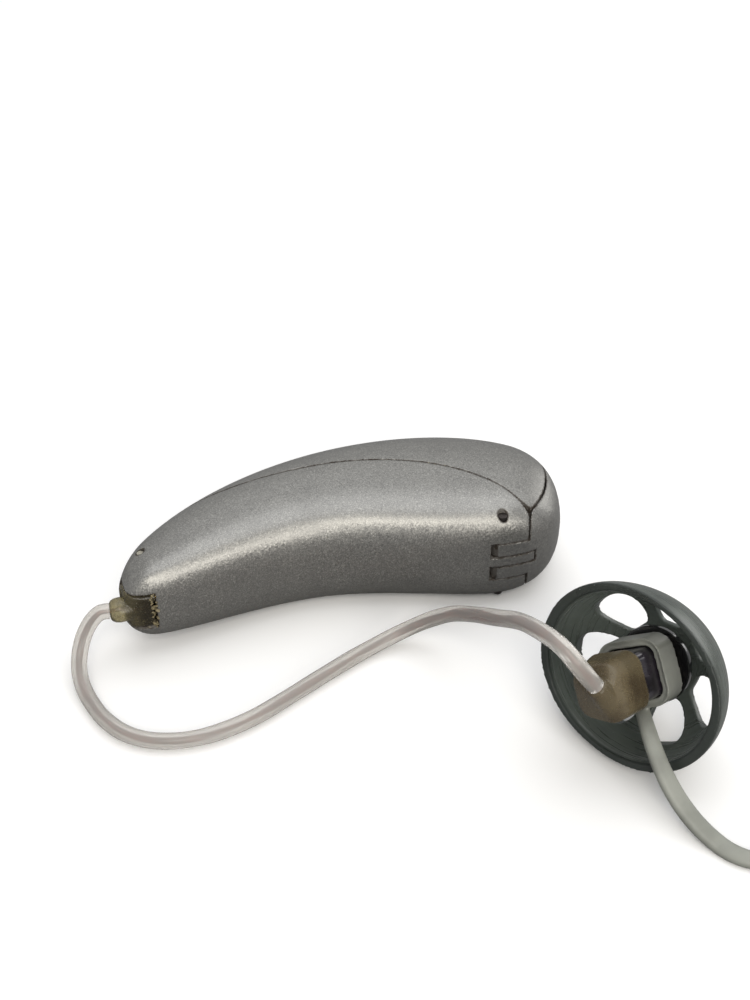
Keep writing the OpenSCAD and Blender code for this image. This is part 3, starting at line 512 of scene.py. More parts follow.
def hulled(name, forms):
    """The smallest bulging skin over all forms."""
    obj = joined(name, forms)
    bm = bmesh.new()
    bm.from_mesh(obj.data)
    made = bmesh.ops.convex_hull(bm, input=bm.verts)
    inside = made["geom_interior"] + made["geom_unused"]
    loose = [v for v in inside if isinstance(v, bmesh.types.BMVert)]
    bmesh.ops.delete(bm, geom=list(set(loose)), context="VERTS")
    kept = set(made["geom"])
    bmesh.ops.delete(bm, geom=[f for f in bm.faces if f not in kept], context="FACES_ONLY")
    bmesh.ops.recalc_face_normals(bm, faces=bm.faces)
    bm.to_mesh(obj.data)
    bm.free()
    return obj


def carved(obj, cutter, operation="DIFFERENCE"):
    cut = obj.modifiers.new("carve", "BOOLEAN")
    cut.operation, cut.object, cut.solver = operation, cutter, "EXACT"
    made = applied(obj)
    drop(cutter)
    return made


def receiver_axes():
    """The receiver's frame, X to the dome from the middle of its rim, without and with the roll."""
    r = bpy.context.scene.aid_receiver
    heading = Matrix.Rotation(r.turn, 4, "Z") @ Matrix.Rotation(r.dip, 4, "Y")
    level = Matrix.Translation(Vector(RIM_CENTRE) * MM) @ heading
    return level, level @ Matrix.Rotation(r.roll, 4, "X")


def wire_exit():
    """Where the wire enters the boot, and the direction it comes out in."""
    r, wire = bpy.context.scene.aid_receiver, bpy.context.scene.aid_wire
    level, _ = receiver_axes()
    aside = math.sin(wire.lean)
    way = Vector((-math.cos(wire.lean), aside * math.sin(wire.side), aside * math.cos(wire.side)))
    boot_back = r.can_front - r.can_length + r.boot_over - r.boot_length
    root = Vector((boot_back, WIRE_ROOT[0] * MM, WIRE_ROOT[1] * MM))
    return level @ (root + way * WIRE_OUT * MM), (level.to_3x3() @ way).normalized()


# ---------------------------------------------------------------- finishes


def arithmetic(operation, swapped=False):
    """A method that makes one Math node of a value and another."""

    def method(self, other):
        return self.nodes.math(operation, *((other, self) if swapped else (self, other)))

    return method


class Value:
    """One output of a tree's nodes, with arithmetic."""

    __add__ = __radd__ = arithmetic("ADD")
    __mul__ = __rmul__ = arithmetic("MULTIPLY")
    __sub__, __rsub__ = arithmetic("SUBTRACT"), arithmetic("SUBTRACT", True)
    __truediv__ = arithmetic("DIVIDE")

    def __init__(self, nodes, socket):
        self.nodes, self.socket = nodes, socket

    def over(self, low, high):
        """0 below low, 1 above high, smooth between."""
        smooth = {"interpolation_type": "SMOOTHSTEP"}
        return self.nodes.node("MapRange", smooth, Value=self, From_Min=low, From_Max=high)

    def held(self):
        return self.nodes.node("Clamp", Value=self)


class Nodes:
    """A node tree whose nodes are made with their inputs fed."""

    def __init__(self, tree):
        self.tree = tree

    def feed(self, socket, value):
        if isinstance(value, Value):
            self.tree.links.new(value.socket, socket)
        elif socket.type == "VECTOR":
            socket.default_value = tuple(value)
        elif socket.type == "RGBA":
            socket.default_value = (*list(value)[:3], 1)
        else:
            socket.default_value = value

    def node(self, kind, settings=None, out=0, **sockets):
        """A node's output; _0 is its first input, and shader nodes go by their short names."""
        made = self.tree.nodes.new(kind if "Node" in kind else "ShaderNode" + kind)
        for key, value in (settings or {}).items():
            setattr(made, key, value)
        for key, value in sockets.items():
            self.feed(made.inputs[int(key[1:]) if key[0] == "_" else key.replace("_", " ")], value)
        return None if out is None else Value(self, made.outputs[out])

    def math(self, operation, a, b=0.0):
        return self.node("Math", {"operation": operation}, _0=a, _1=b)

    def vector(self, operation, *vectors, **sockets):
        sockets.update({f"_{i}": v for i, v in enumerate(vectors)})
        return self.node("VectorMath", {"operation": operation}, **sockets)

    def scaled(self, vector, by):
        return self.vector("SCALE", vector, Scale=by)


class Growth(Nodes):
    """A geometry tree with inputs of the given kinds, such as Float."""

    def __init__(self, name, **inputs):
        super().__init__(bpy.data.node_groups.new(name, "GeometryNodeTree"))
        for label, kind in {"Geometry": "Geometry", **inputs}.items():
            self.tree.interface.new_socket(label, in_out="INPUT", socket_type="NodeSocket" + kind)
        self.tree.interface.new_socket("Geometry", in_out="OUTPUT", socket_type="NodeSocketGeometry")
        self.inputs = self.tree.nodes.new("NodeGroupInput").outputs

    def given(self, label="Geometry"):
        return Value(self, self.inputs[label])

    def grown(self, obj, geometry, material, **values):
        """The object as the tree makes it, as a plain mesh."""
        real = self.node("GeometryNodeRealizeInstances", _0=geometry)
        coated = self.node("GeometryNodeSetMaterial", _0=real, Material=material)
        self.node("NodeGroupOutput", out=None, _0=coated)
        modifier = obj.modifiers.new("grow", "NODES")
        modifier.node_group = self.tree
        for item in self.tree.interface.items_tree:
            if item.in_out == "INPUT" and item.name in values:
                modifier[item.identifier] = values[item.name]
        return applied(obj)


class Finish(Nodes):
    """A material made of nodes round one shader."""

    def __init__(self, name, **shader):
        self.material = bpy.data.materials.new(name)
        self.material.use_nodes = True
        super().__init__(self.material.node_tree)
        self.tree.nodes.clear()
        self.shader = self.tree.nodes.new("ShaderNodeBsdfPrincipled")
        output = self.tree.nodes.new("ShaderNodeOutputMaterial")
        self.tree.links.new(self.shader.outputs[0], output.inputs[0])
        self.set(**shader)

    def set(self, **sockets):
        for key, value in sockets.items():
            self.feed(self.shader.inputs[key.replace("_", " ")], value)

    def look(self, colour, rough):
        self.set(Base_Color=colour, Roughness=rough.held())

    def place(self):
        return self.node("TexCoord", out="Object")

    def texture(self, kind, grain, settings=None, out=0, **sockets):
        """A texture whose features are about grain millimetres across."""
        sockets.update(Vector=self.place(), Scale=1 / (grain * MM))
        return self.node("Tex" + kind, settings, out, **sockets)

    def noise(self, grain, detail=2.0, rough=0.5):
        return self.texture("Noise", grain, Detail=detail, Roughness=rough)

    def cells(self, grain):
        return self.texture("Voronoi", grain, out="Color")

    def mix(self, share, a, b):
        return self.node("Mix", {"data_type": "RGBA"}, out=2, _0=share, _6=a, _7=b)

    def split(self, colour, channel=0):
        return self.node("SeparateColor", out=channel, Color=colour)

    def attribute(self, name):
        return self.node("Attribute", {"attribute_name": name}, out="Fac")

    def bump(self, height, depth, strength, **sockets):
        """A bump whose full height is depth millimetres."""
        sockets.update(Height=height, Strength=strength, Distance=depth * MM)
        self.set(Normal=self.node("Bump", **sockets))


def dimmed(colour, by):
    return [c * by for c in colour]


def tints():
    return bpy.context.scene.aid_tints


def lacquer():
    """Silver metallic lacquer: fine flakes under a satin top coat, worn and dirty along its seams,
    which also carry painted shade.
    """
    t = tints()
    f = Finish("case_lacquer", Metallic=0.85, Coat_Weight=0.08, Coat_Roughness=0.35)
    flakes = f.cells(0.06)
    fine = f.split(f.cells(0.04), 1)
    flake = f.split(flakes, 2)
    cloud = f.noise(3.5, 3)
    base = f.mix(flake * 0.4 + fine * 0.35 + 0.2, t.lacquer_dark, t.lacquer)
    base = f.mix(flake.over(0.92, 0.99) * 0.16, base, t.spark)
    base = f.mix(cloud.over(0.35, 0.75) * 0.15, base, t.lacquer_dark)
    edge = f.attribute("near_edge")
    patch = f.noise(0.45, 4, 0.65)
    # Dark along sharp edges: patchy dirt, plus an even dark line of painted shade in the seams and
    # round openings
    dirt_and_seam_shade = (edge.over(0.1, 0.8) * patch.over(0.45, 0.65) * 0.5 + edge.over(0.35, 0.8) * 0.7).held()
    speck = f.noise(0.2, 2).over(0.74, 0.79) * f.noise(3.2).over(0.5, 0.66)
    scuff = f.noise(0.4, 5, 0.7).over(0.66, 0.73) * f.noise(4.5).over(0.55, 0.7)
    base = f.mix(scuff * 0.3, base, t.grime_and_seam_shade)
    base = f.mix(speck * 0.7, base, t.speck)
    base = f.mix(dirt_and_seam_shade, base, t.grime_and_seam_shade)
    crumb = edge.over(0.5, 0.85) * f.noise(0.22, 2).over(0.62, 0.7) * f.noise(2.6).over(0.5, 0.62)
    base = f.mix(crumb * 0.75, base, t.speck)
    f.look(base, 0.33 + cloud * 0.08 + dirt_and_seam_shade * 0.35 + flake * 0.08)
    f.set(Metallic=(0.85 - dirt_and_seam_shade * 0.75 - speck * 0.5).held())
    tilt = f.vector("SUBTRACT", flakes, (0.5, 0.5, 0.5))
    facing = f.vector("ADD", f.node("NewGeometry", out="Normal"), f.scaled(tilt, 0.15))
    f.bump(f.noise(0.09, 2) - dirt_and_seam_shade * 0.5, 0.006, 0.4, Normal=f.vector("NORMALIZE", facing))
    return f.material


def plain_metal(name, colour, rough, grain=0.12, depth=0.004):
    f = Finish(name, Metallic=1.0)
    speckle, dull = f.noise(grain, 4, 0.6), f.noise(1.2, 3)
    base = f.mix(speckle.over(0.35, 0.7) * 0.6, colour, dimmed(colour, 0.62))
    f.look(base, rough + dull * 0.16 - 0.08)
    f.bump(speckle, depth, 0.6)
    return f.material


def moulding(name, colour, rough=0.45, grain=0.15):
    f = Finish(name, Specular_IOR_Level=0.45)
    speckle = f.noise(grain, 3, 0.6)
    f.look(f.mix(speckle * 0.5, colour, dimmed(colour, 0.7)), rough + speckle * 0.12)
    f.bump(speckle, 0.006, 0.5)
    return f.material


def board_finish():
    f = Finish("board_laminate", Specular_IOR_Level=0.5)
    pattern = {"Mortar_Size": 0.035, "Brick_Width": 0.9, "Row_Height": 0.35}
    track = f.texture("Brick", 1.1, {"offset": 0.5}, "Fac", **pattern)
    f.look(f.mix(track * 0.7, (0.012, 0.085, 0.035), (0.05, 0.22, 0.09)), 0.35 + track * 0.1)
    f.bump(track, 0.012, 0.5)
    return f.material


def winding_finish():
    f = Finish("coil_copper", Metallic=0.85)
    bands = {"wave_type": "BANDS", "bands_direction": "X"}
    turns = f.texture("Wave", 0.9, bands, "Fac", Distortion=0.3)
    f.look(f.mix(turns, (0.16, 0.05, 0.02), (0.55, 0.2, 0.08)), 0.34 + turns * 0.1)
    f.bump(turns, 0.02, 0.6)
    return f.material


def resin(name, colour, deep, clear, grain):
    """Cloudy clear resin, with light let through where clear is high."""
    f = Finish(name, Transmission_Weight=clear, IOR=1.42, Specular_IOR_Level=0.5)
    cloud, fine = f.noise(grain, 3, 0.6), f.noise(0.18, 4, 0.65)
    f.look(f.mix(cloud.over(0.35, 0.68), colour, deep), 0.14 + fine * 0.16 + cloud * 0.08)
    f.bump(fine, 0.004, 0.4)
    return f


def tube_finish():
    """Clear tube with a thin greasy film."""
    f = Finish("wire_tube_clear", Transmission_Weight=0.68, IOR=1.34, Specular_IOR_Level=0.5)
    along, film = f.noise(2.4, 3, 0.6), f.noise(0.4, 3, 0.6)
    f.look(f.mix(along.over(0.45, 0.75) * 0.3, tints().tube, (0.72, 0.68, 0.64)), 0.17 + film * 0.12)
    f.bump(along * 0.7 + film * 0.3, 0.002, 0.3)
    return f.material


def enamel():
    f, colour = Finish("strand_enamel", Specular_IOR_Level=0.5), tints().strand
    shade = f.noise(1.1, 2).over(0.4, 0.6)
    f.look(f.mix(shade, colour, dimmed(colour, 0.55)), 0.4 + shade * 0.1)
    f.bump(f.noise(0.1, 2), 0.004, 0.4)
    return f.material


def glue():
    """Dried glue, in pale and dark flakes."""
    f = Finish("glue_crumb", Transmission_Weight=0.2, IOR=1.45)
    shade = f.noise(0.12, 3)
    f.look(f.mix(shade.over(0.4, 0.65), (0.3, 0.25, 0.14), (0.07, 0.055, 0.03)), 0.35 + shade * 0.3)
    f.bump(f.noise(0.06, 3), 0.01, 0.6)
    return f.material


def silicone():
    """Dark translucent silicone, paler where it is thin and streaked round its axis."""
    f = Finish("dome_silicone_soft", Transmission_Weight=0.32, IOR=1.41, Specular_IOR_Level=0.55)
    rim = f.attribute("toward_rim")
    lie = f.node("CombineXYZ", X=rim * 22, Y=f.attribute("round_way") * 0.9)
    streak = f.node("TexNoise", {"noise_dimensions": "2D"}, Vector=lie, Scale=1.0, Detail=2.0)
    haze = f.noise(2.2, 3, 0.6)
    base = f.mix(streak.over(0.35, 0.8) * 0.25, tints().dome, (0.2, 0.235, 0.225))
    base = f.mix(haze.over(0.45, 0.8) * 0.4, base, (0.03, 0.04, 0.038))
    base = f.mix(rim.over(0.93, 0.985) * 0.7, base, (0.012, 0.016, 0.015))
    lint = f.noise(0.16, 2).over(0.73, 0.79)
    f.look(f.mix(lint * 0.5, base, (0.45, 0.5, 0.48)), 0.2 + streak * 0.18 + lint * 0.3)
    f.bump(streak * 0.3 + f.noise(0.4, 3) * 0.7, 0.005, 0.35)
    return f.material


def looked_at(nodes):
    """1 for what the camera sees, straight or through something clear, and 0 for other rays."""
    straight = nodes.node("LightPath", out="Is Camera Ray")
    return (straight + nodes.node("LightPath", out="Is Transmission Ray")).held()


def floor_finish():
    """White where it is looked at, greyer in what the lacquer mirrors."""
    f = Finish("floor_pale", Specular_IOR_Level=0.1, Roughness=0.8)
    f.set(Base_Color=f.mix(looked_at(f), (0.25, 0.25, 0.255), (0.93, 0.93, 0.93)))
    return f.material


# ---------------------------------------------------------------- placing


def dressed(obj, body, slot, material, *nodes):
    obj.data.materials.clear()
    obj.data.materials.append(material)
    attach(obj, body)
    if nodes:
        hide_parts(*nodes)


def coat(material, *nodes):
    """Nodes that stay as they are get a material of their own."""
    for node in nodes:
        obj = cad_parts[node]
        if not obj.material_slots:
            obj.data.materials.append(material)
        for held in obj.material_slots:
            held.material = material


def cased(name, node, body, insets):
    """A painted piece of the case on its true form."""
    paint = bpy.data.materials.get("case_lacquer") or lacquer()
    dressed(settled_copy(name, node, insets), body, "case_paint", paint, node)


class Maker:
    """What every operator of this object shares."""

    bl_options = {"REGISTER", "UNDO"}

    def execute(self, context):
        self.make(context.scene)
        return {"FINISHED"}


class AID_OT_stage(Maker, bpy.types.Operator):
    """Pale floor, soft lamps and the camera at the photograph's angle"""

    bl_idname = "aid.stage"
    bl_label = "Stage"

    FLOOR_REACH, OTHER_LIGHT = 3, 0.56
    SENSOR, LENS = 36, 50.4
    # The camera's place and aims in millimetres
    CAMERA, TARGET, LAMPS_AT = (-12.296, -66.892, 59.104), (3.432, 7.103, 0), (3, -6, 0)
    # Place and size in metres, power in watts, colour
    LAMPS = {
        "lamp_key": ((-0.03, -0.21, 0.22), 0.12, 0.3, (1, 0.96, 0.88)),
        "lamp_front": ((0.12, -0.375, 0.14), 0.2, 0.6, (1, 0.96, 0.89)),
        "lamp_top": ((0.05, 0.08, 0.36), 0.4, 0.7, (0.97, 0.98, 1)),
        "lamp_side": ((0.36, 0.16, 0.08), 0.2, 0.25, (1, 0.99, 0.97)),
    }

    def make(self, scene):
        far = self.FLOOR_REACH
        corners = [(-far, -far, 0), (far, -far, 0), (far, far, 0), (-far, far, 0)]
        floor = from_faces("floor", corners, [(0, 1, 2, 3)])
        floor.data.materials.append(floor_finish())
        scene.world = bpy.data.worlds.new("studio")
        scene.world.use_nodes = True
        nodes = Nodes(scene.world.node_tree)
        sky = nodes.tree.nodes["Background"].inputs
        nodes.feed(sky["Color"], (1, 1, 1))
        nodes.feed(sky["Strength"], looked_at(nodes) * (1 - self.OTHER_LIGHT) + self.OTHER_LIGHT)
        for name, (place, spread, power, colour) in self.LAMPS.items():
            lamp = bpy.data.lights.new(name, "AREA")
            lamp.shape, lamp.size, lamp.energy, lamp.color = "SQUARE", spread, power, colour
            self.aimed(new_object(name, lamp), Vector(place), self.LAMPS_AT)
        scene.camera = new_object("camera", bpy.data.cameras.new("camera"))
        camera = scene.camera.data
        camera.sensor_width, camera.lens = self.SENSOR, self.LENS
        camera.clip_start, camera.clip_end = 0.002, 10
        self.aimed(scene.camera, Vector(self.CAMERA) * MM, self.TARGET)
        scene.view_settings.view_transform = "Standard"

    def aimed(self, obj, place, target):
        obj.location = place
        obj.rotation_euler = (Vector(target) * MM - place).to_track_quat("-Z", "Y").to_euler()


class AID_OT_wire(Maker, bpy.types.Operator):
    """The clear wire tube with its twisted conductors"""

    bl_idname = "aid.wire"
    bl_label = "Wire"

    STEP, STRANDS_FROM, STRANDS_PAST = 0.25, (-12.9, -4.45, 3.6), 0.8
    FULLNESS = 0.985  # The tube's mean radius, as a share of the largest

    def make(self, scene):
        wire = scene.aid_wire
        exit_point, exit_way = wire_exit()
        route = [Vector(p) * MM for p in WIRE_ROUTE] + [exit_point + exit_way * wire.tube, exit_point]
        path = eased(route, self.STEP * MM)

        def outline(share, angle):
            swell = 1 + 0.012 * math.sin(share * 41) + 0.01 * math.sin(share * 97 + 2)
            return polar(wire.tube / 2 * swell * self.FULLNESS, angle)

        tube = sweep("wire_tube", path, outline, 24)
        smooth_shade(tube, 60)
        dressed(tube, "case", "wire_tube", tube_finish(), "receiver_wire")
        past = exit_point - exit_way * self.STRANDS_PAST * MM
        finish = enamel()
        strands = self.strands([Vector(self.STRANDS_FROM) * MM] + path[2:] + [past], wire, finish)
        dressed(strands, "case", "coil_copper", finish)

    def strands(self, path, wire, finish):
        """Two conductors twisted along the path, swept by nodes."""
        curve = bpy.data.curves.new("conductor_path", "CURVE")
        curve.dimensions = "3D"
        line = curve.splines.new("POLY")
        line.points.add(len(path) - 1)
        for point, place in zip(line.points, path):
            point.co = (*place, 1)
        g = Growth("twisted_conductors", Strand="Float", Offset="Float", Pitch="Float")
        along = g.node("GeometryNodeSplineParameter", out="Length")
        turn = along / g.given("Pitch") * (2 * math.pi)
        normal = g.node("GeometryNodeInputNormal")
        side = g.vector("CROSS_PRODUCT", g.node("GeometryNodeInputTangent"), normal)
        join = g.tree.nodes.new("GeometryNodeJoinGeometry")
        for phase in (0, math.pi):
            angle = turn + phase
            up, aside = g.scaled(normal, g.math("COSINE", angle)), g.scaled(side, g.math("SINE", angle))
            away = g.scaled(g.vector("ADD", up, aside), g.given("Offset"))
            middle = g.node("GeometryNodeSetPosition", Geometry=g.given(), Offset=away)
            radius = g.given("Strand") * 0.5
            ring = g.node("GeometryNodeCurvePrimitiveCircle", Resolution=8, Radius=radius)
            kind = "GeometryNodeCurveToMesh"
            g.feed(join.inputs[0], g.node(kind, Curve=middle, Profile_Curve=ring, Fill_Caps=True))
        made = g.grown(
            new_object("wire_conductors", curve), Value(g, join.outputs[0]), finish,
            Strand=wire.strand, Offset=wire.offset, Pitch=wire.pitch,
        )
        smooth_shade(made, 60)
        return made


class AID_OT_case(Maker, bpy.types.Operator):
    """Belly shell and spine shell with their seams"""

    bl_idname = "aid.case"
    bl_label = "Case shells"

    def make(self, scene):
        for name, node in (("belly_shell", "lower_shell"), ("spine_shell", "upper_shell")):
            cased(name, node, "case", (0, scene.aid_case.wall))
        coat(plain_metal("pin_steel", (0.09, 0.08, 0.075), 0.45), "hinge_pin")
        coat(plain_metal("tip_pin_worn", (0.42, 0.4, 0.33), 0.45), "tip_pin")


class AID_OT_door(Maker, bpy.types.Operator):
    """Battery door with its hinge arms, and the button cell"""

    bl_idname = "aid.door"
    bl_label = "Battery door"

    def make(self, scene):
        cased("door_shell", "battery_door", "door", (0, scene.aid_case.wall))
        low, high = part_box("battery_cell")
        middle = (low + high) / 2
        r, h = scene.aid_case.cell_diameter / 2 / MM, (high.z - low.z) / MM
        profile = [
            (0, 0.02), (0, r - 0.62), (0.06, r - 0.55), (0.1, r - 0.5), (0.05, r - 0.42),
            (0.05, r - 0.3), (0.12, r - 0.12), (0.3, r - 0.02), (0.6, r), (h - 0.35, r),
            (h - 0.12, r - 0.05), (h - 0.02, r - 0.16), (h, r - 0.32), (h, 0.02),
        ]
        upright = Matrix.Rotation(math.radians(-90), 4, "Y")
        place = Matrix.Translation((middle.x, middle.y, low.z)) @ upright
        cell = turned(lathe("button_cell", profile, 128), place)
        smooth_shade(cell, 30)
        nickel = plain_metal("cell_nickel", (0.62, 0.61, 0.59), 0.24, 0.3, 0.002)
        dressed(cell, "door", "cell_steel", nickel, "battery_cell")


class AID_OT_controls(Maker, bpy.types.Operator):
    """Push button, its switch, microphones and their screens"""

    bl_idname = "aid.controls"
    bl_label = "Button and microphones"

    BEHIND = 0.1  # Millimetres from the wall's inside to the back of the button

    def make(self, scene):
        case = scene.aid_case
        insets = (-case.button_rise, case.wall + self.BEHIND * MM)
        cased("spine_button", "push_button", "button", insets)
        weave = moulding("screen_weave", (0.018, 0.018, 0.019), 0.6)
        coat(weave, "front_port_screen", "rear_port_screen")
        brass = plain_metal("microphone_can", (0.62, 0.5, 0.24), 0.3)
        coat(brass, "front_microphone", "rear_microphone")
        coat(moulding("switch_moulding", (0.03, 0.03, 0.034), 0.4), "button_switch")


class AID_OT_inside(Maker, bpy.types.Operator):
    """Frame, circuit board and what it carries, coil, socket and contacts"""

    bl_idname = "aid.inside"
    bl_label = "Inside"

    def make(self, scene):
        coat(moulding("frame_moulding", (0.035, 0.036, 0.04), 0.5), "inner_frame", "plug_socket")
        coat(board_finish(), "circuit_board")
        coat(moulding("package_resin", (0.02, 0.02, 0.021), 0.5, 0.08), "signal_processor")
        coat(moulding("part_ceramic", (0.45, 0.33, 0.18), 0.4, 0.08), "board_components")
        coat(winding_finish(), "telecoil")
        gold = plain_metal("contact_gold", (0.78, 0.54, 0.18), 0.22, 0.15)
        coat(gold, "battery_contact_plus", "battery_contact_minus", "plug_contacts")


class AID_OT_plug(Maker, bpy.types.Operator):
    """The clear plug at the tip, with its nose"""

    bl_idname = "aid.plug"
    bl_label = "Plug"

    NOSE = [(0, 0.3), (0.02, 0.47), (0.1, 0.6), (0.3, 0.71), (0.6, 0.75), (1.1, 0.7), (1.4, 0.6)]
    FLAKES, SEED, FLAKE_SIZE, FLAKE_INSET, FLAKE_START = 22, 11, 0.13, 0.03, -5

    def make(self, scene):
        colour, (low, high) = tints().plug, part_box("receiver_plug")
        ends = high.x - PLUG_LENGTH * MM, high.x + PLUG_PAST * MM
        body = block("plug_body", *ends, PLUG_WIDTH * MM, high.z - low.z, 0.8, 0.42)
        turned(body, Matrix.Translation((0, PLUG_MIDDLE * MM, (low.z + high.z) / 2)))
        body = carved(body, case_tip(), "INTERSECT")
        cone = lathe("plug_nose", self.NOSE, 48)
        turned(cone, Matrix.Translation(Vector(WIRE_ROUTE[0]) * MM))
        plug = moulded("plug_resin_body", [body, cone], 0.05, 3)
        for v in plug.data.vertices:
            v.co = [min(max(c, a), b) for c, a, b in zip(v.co, low, high)]
        smooth_shade(plug, 70)
        f = resin("plug_olive", colour, (0.07, 0.058, 0.03), 0.7, 0.7)
        # Painted shade: the resin darkens from its nose toward the case
        along = f.node("SeparateXYZ", out="X", Vector=f.place()) / MM
        base = f.mix(along.over(-14.6, -12.6), colour, (0.07, 0.055, 0.03))
        base = f.mix(f.noise(0.8, 3).over(0.35, 0.65) * 0.6, base, (0.05, 0.042, 0.022))
        pale = f.noise(0.35, 3, 0.6).over(0.64, 0.72) * 0.4
        f.set(Base_Color=f.mix(pale, base, (0.4, 0.35, 0.2)))
        dressed(plug, "case", "plug_resin", f.material, "receiver_plug")
        self.crumbs(high)

    def crumbs(self, high):
        """Dried flakes of glue along the plug's inner edge, set out by nodes."""
        n, form, draw = self.FLAKES, CaseForm(), np.random.default_rng(self.SEED)
        heights = form.mid + (np.linspace(-1.15, 1.2, n) + draw.uniform(-0.05, 0.05, n)) * MM
        along = high.x + draw.uniform(-0.3, 0.1, n) * MM
        spots = np.column_stack([along, np.full(n, self.FLAKE_START * MM), heights])
        points = from_faces("glue_flakes", form.settle(spots, self.FLAKE_INSET * MM), [])
        g = Growth("scattered_flakes", Size="Float")
        ball = g.node("GeometryNodeMeshIcoSphere", Subdivisions=3, Radius=g.given("Size"))
        lumps = g.vector("SUBTRACT", g.node("TexNoise", out="Color", Scale=6000), (0.5, 0.5, 0.5))
        away = g.scaled(lumps, g.given("Size") * 1.8)
        flake = g.node("GeometryNodeSetPosition", Geometry=ball, Offset=away)
        kind, vectors = "FunctionNodeRandomValue", {"data_type": "FLOAT_VECTOR"}
        spin = g.node(kind, vectors, Max=(6.3, 6.3, 6.3))
        grow = g.node(kind, vectors, Min=(0.5, 0.4, 0.3), Max=(1.3, 1.1, 0.6))
        copies = g.node(
            "GeometryNodeInstanceOnPoints", Points=g.given(), Instance=flake, Rotation=spin, Scale=grow,
        )
        material = glue()
        flakes = g.grown(points, copies, material, Size=self.FLAKE_SIZE * MM)
        smooth_shade(flakes, 60)
        dressed(flakes, "case", "plug_resin", material)


class AID_OT_receiver(Maker, bpy.types.Operator):
    """Receiver can, its boot, sound spout and wax filter"""

    bl_idname = "aid.receiver"
    bl_label = "Receiver"

    NECK_LENGTH, NECK_STEP, NECK_WIDE, NECK_WALL = 2.3, 0.12, 0.8, 0.1

    def make(self, scene):
        r, colour = scene.aid_receiver, tints().can
        _, rolled = receiver_axes()
        back, front, inside = r.can_front - r.can_length, r.can_front, (r.can_width, r.can_height)
        can = turned(block("receiver_shell", back, front, *inside, CAN_CORNER, 0.16), rolled)
        smooth_shade(can, 50)
        f = Finish("can_plating", Metallic=0.55, Coat_Weight=0.6, Coat_Roughness=0.08)
        smear = f.noise(0.9, 4, 0.6)
        f.look(f.mix(smear.over(0.4, 0.7), colour, dimmed(colour, 0.35)), 0.2 + smear * 0.2)
        f.bump(f.noise(0.3, 3), 0.006, 0.4)
        dressed(can, "case", "can_gloss", f.material, "receiver_can")
        outside = [side + 2 * r.boot_wall for side in inside]
        lap = back + r.boot_over
        shell = turned(block("boot_shell", lap - r.boot_length, lap, *outside, 0.95, 0.6, 0.84), rolled)
        exit_point, exit_way = wire_exit()
        root = exit_point - exit_way * self.NECK_LENGTH * MM
        path = eased([root, root.lerp(exit_point, 0.5), exit_point], self.NECK_STEP * MM)
        wide, narrow = self.NECK_WIDE * MM, scene.aid_wire.tube / 2 + self.NECK_WALL * MM

        def outline(share, angle):
            return polar(wide + (narrow - wide) * share**0.75, angle)

        neck = sweep("boot_neck", path, outline, 24)
        start = sweep("boot_root", path[: len(path) * 2 // 3], outline, 24)
        boot = moulded("boot_resin_body", [hulled("boot_form", [shell, start]), neck], 0.06, 8)
        room = block("boot_room", back, front + 2 * MM, *inside, CAN_CORNER, 0.1)
        boot = carved(boot, turned(room, rolled))
        smooth_shade(boot, 50)
        f = resin("boot_amber", tints().boot, (0.105, 0.078, 0.045), 0.55, 2.4)
        dressed(boot, "case", "plug_resin", f.material, "receiver_boot")
        coat(moulding("spout_moulding", (0.03, 0.03, 0.034), 0.3), "sound_spout")
        coat(moulding("filter_moulding", (0.8, 0.8, 0.78), 0.45), "wax_filter")


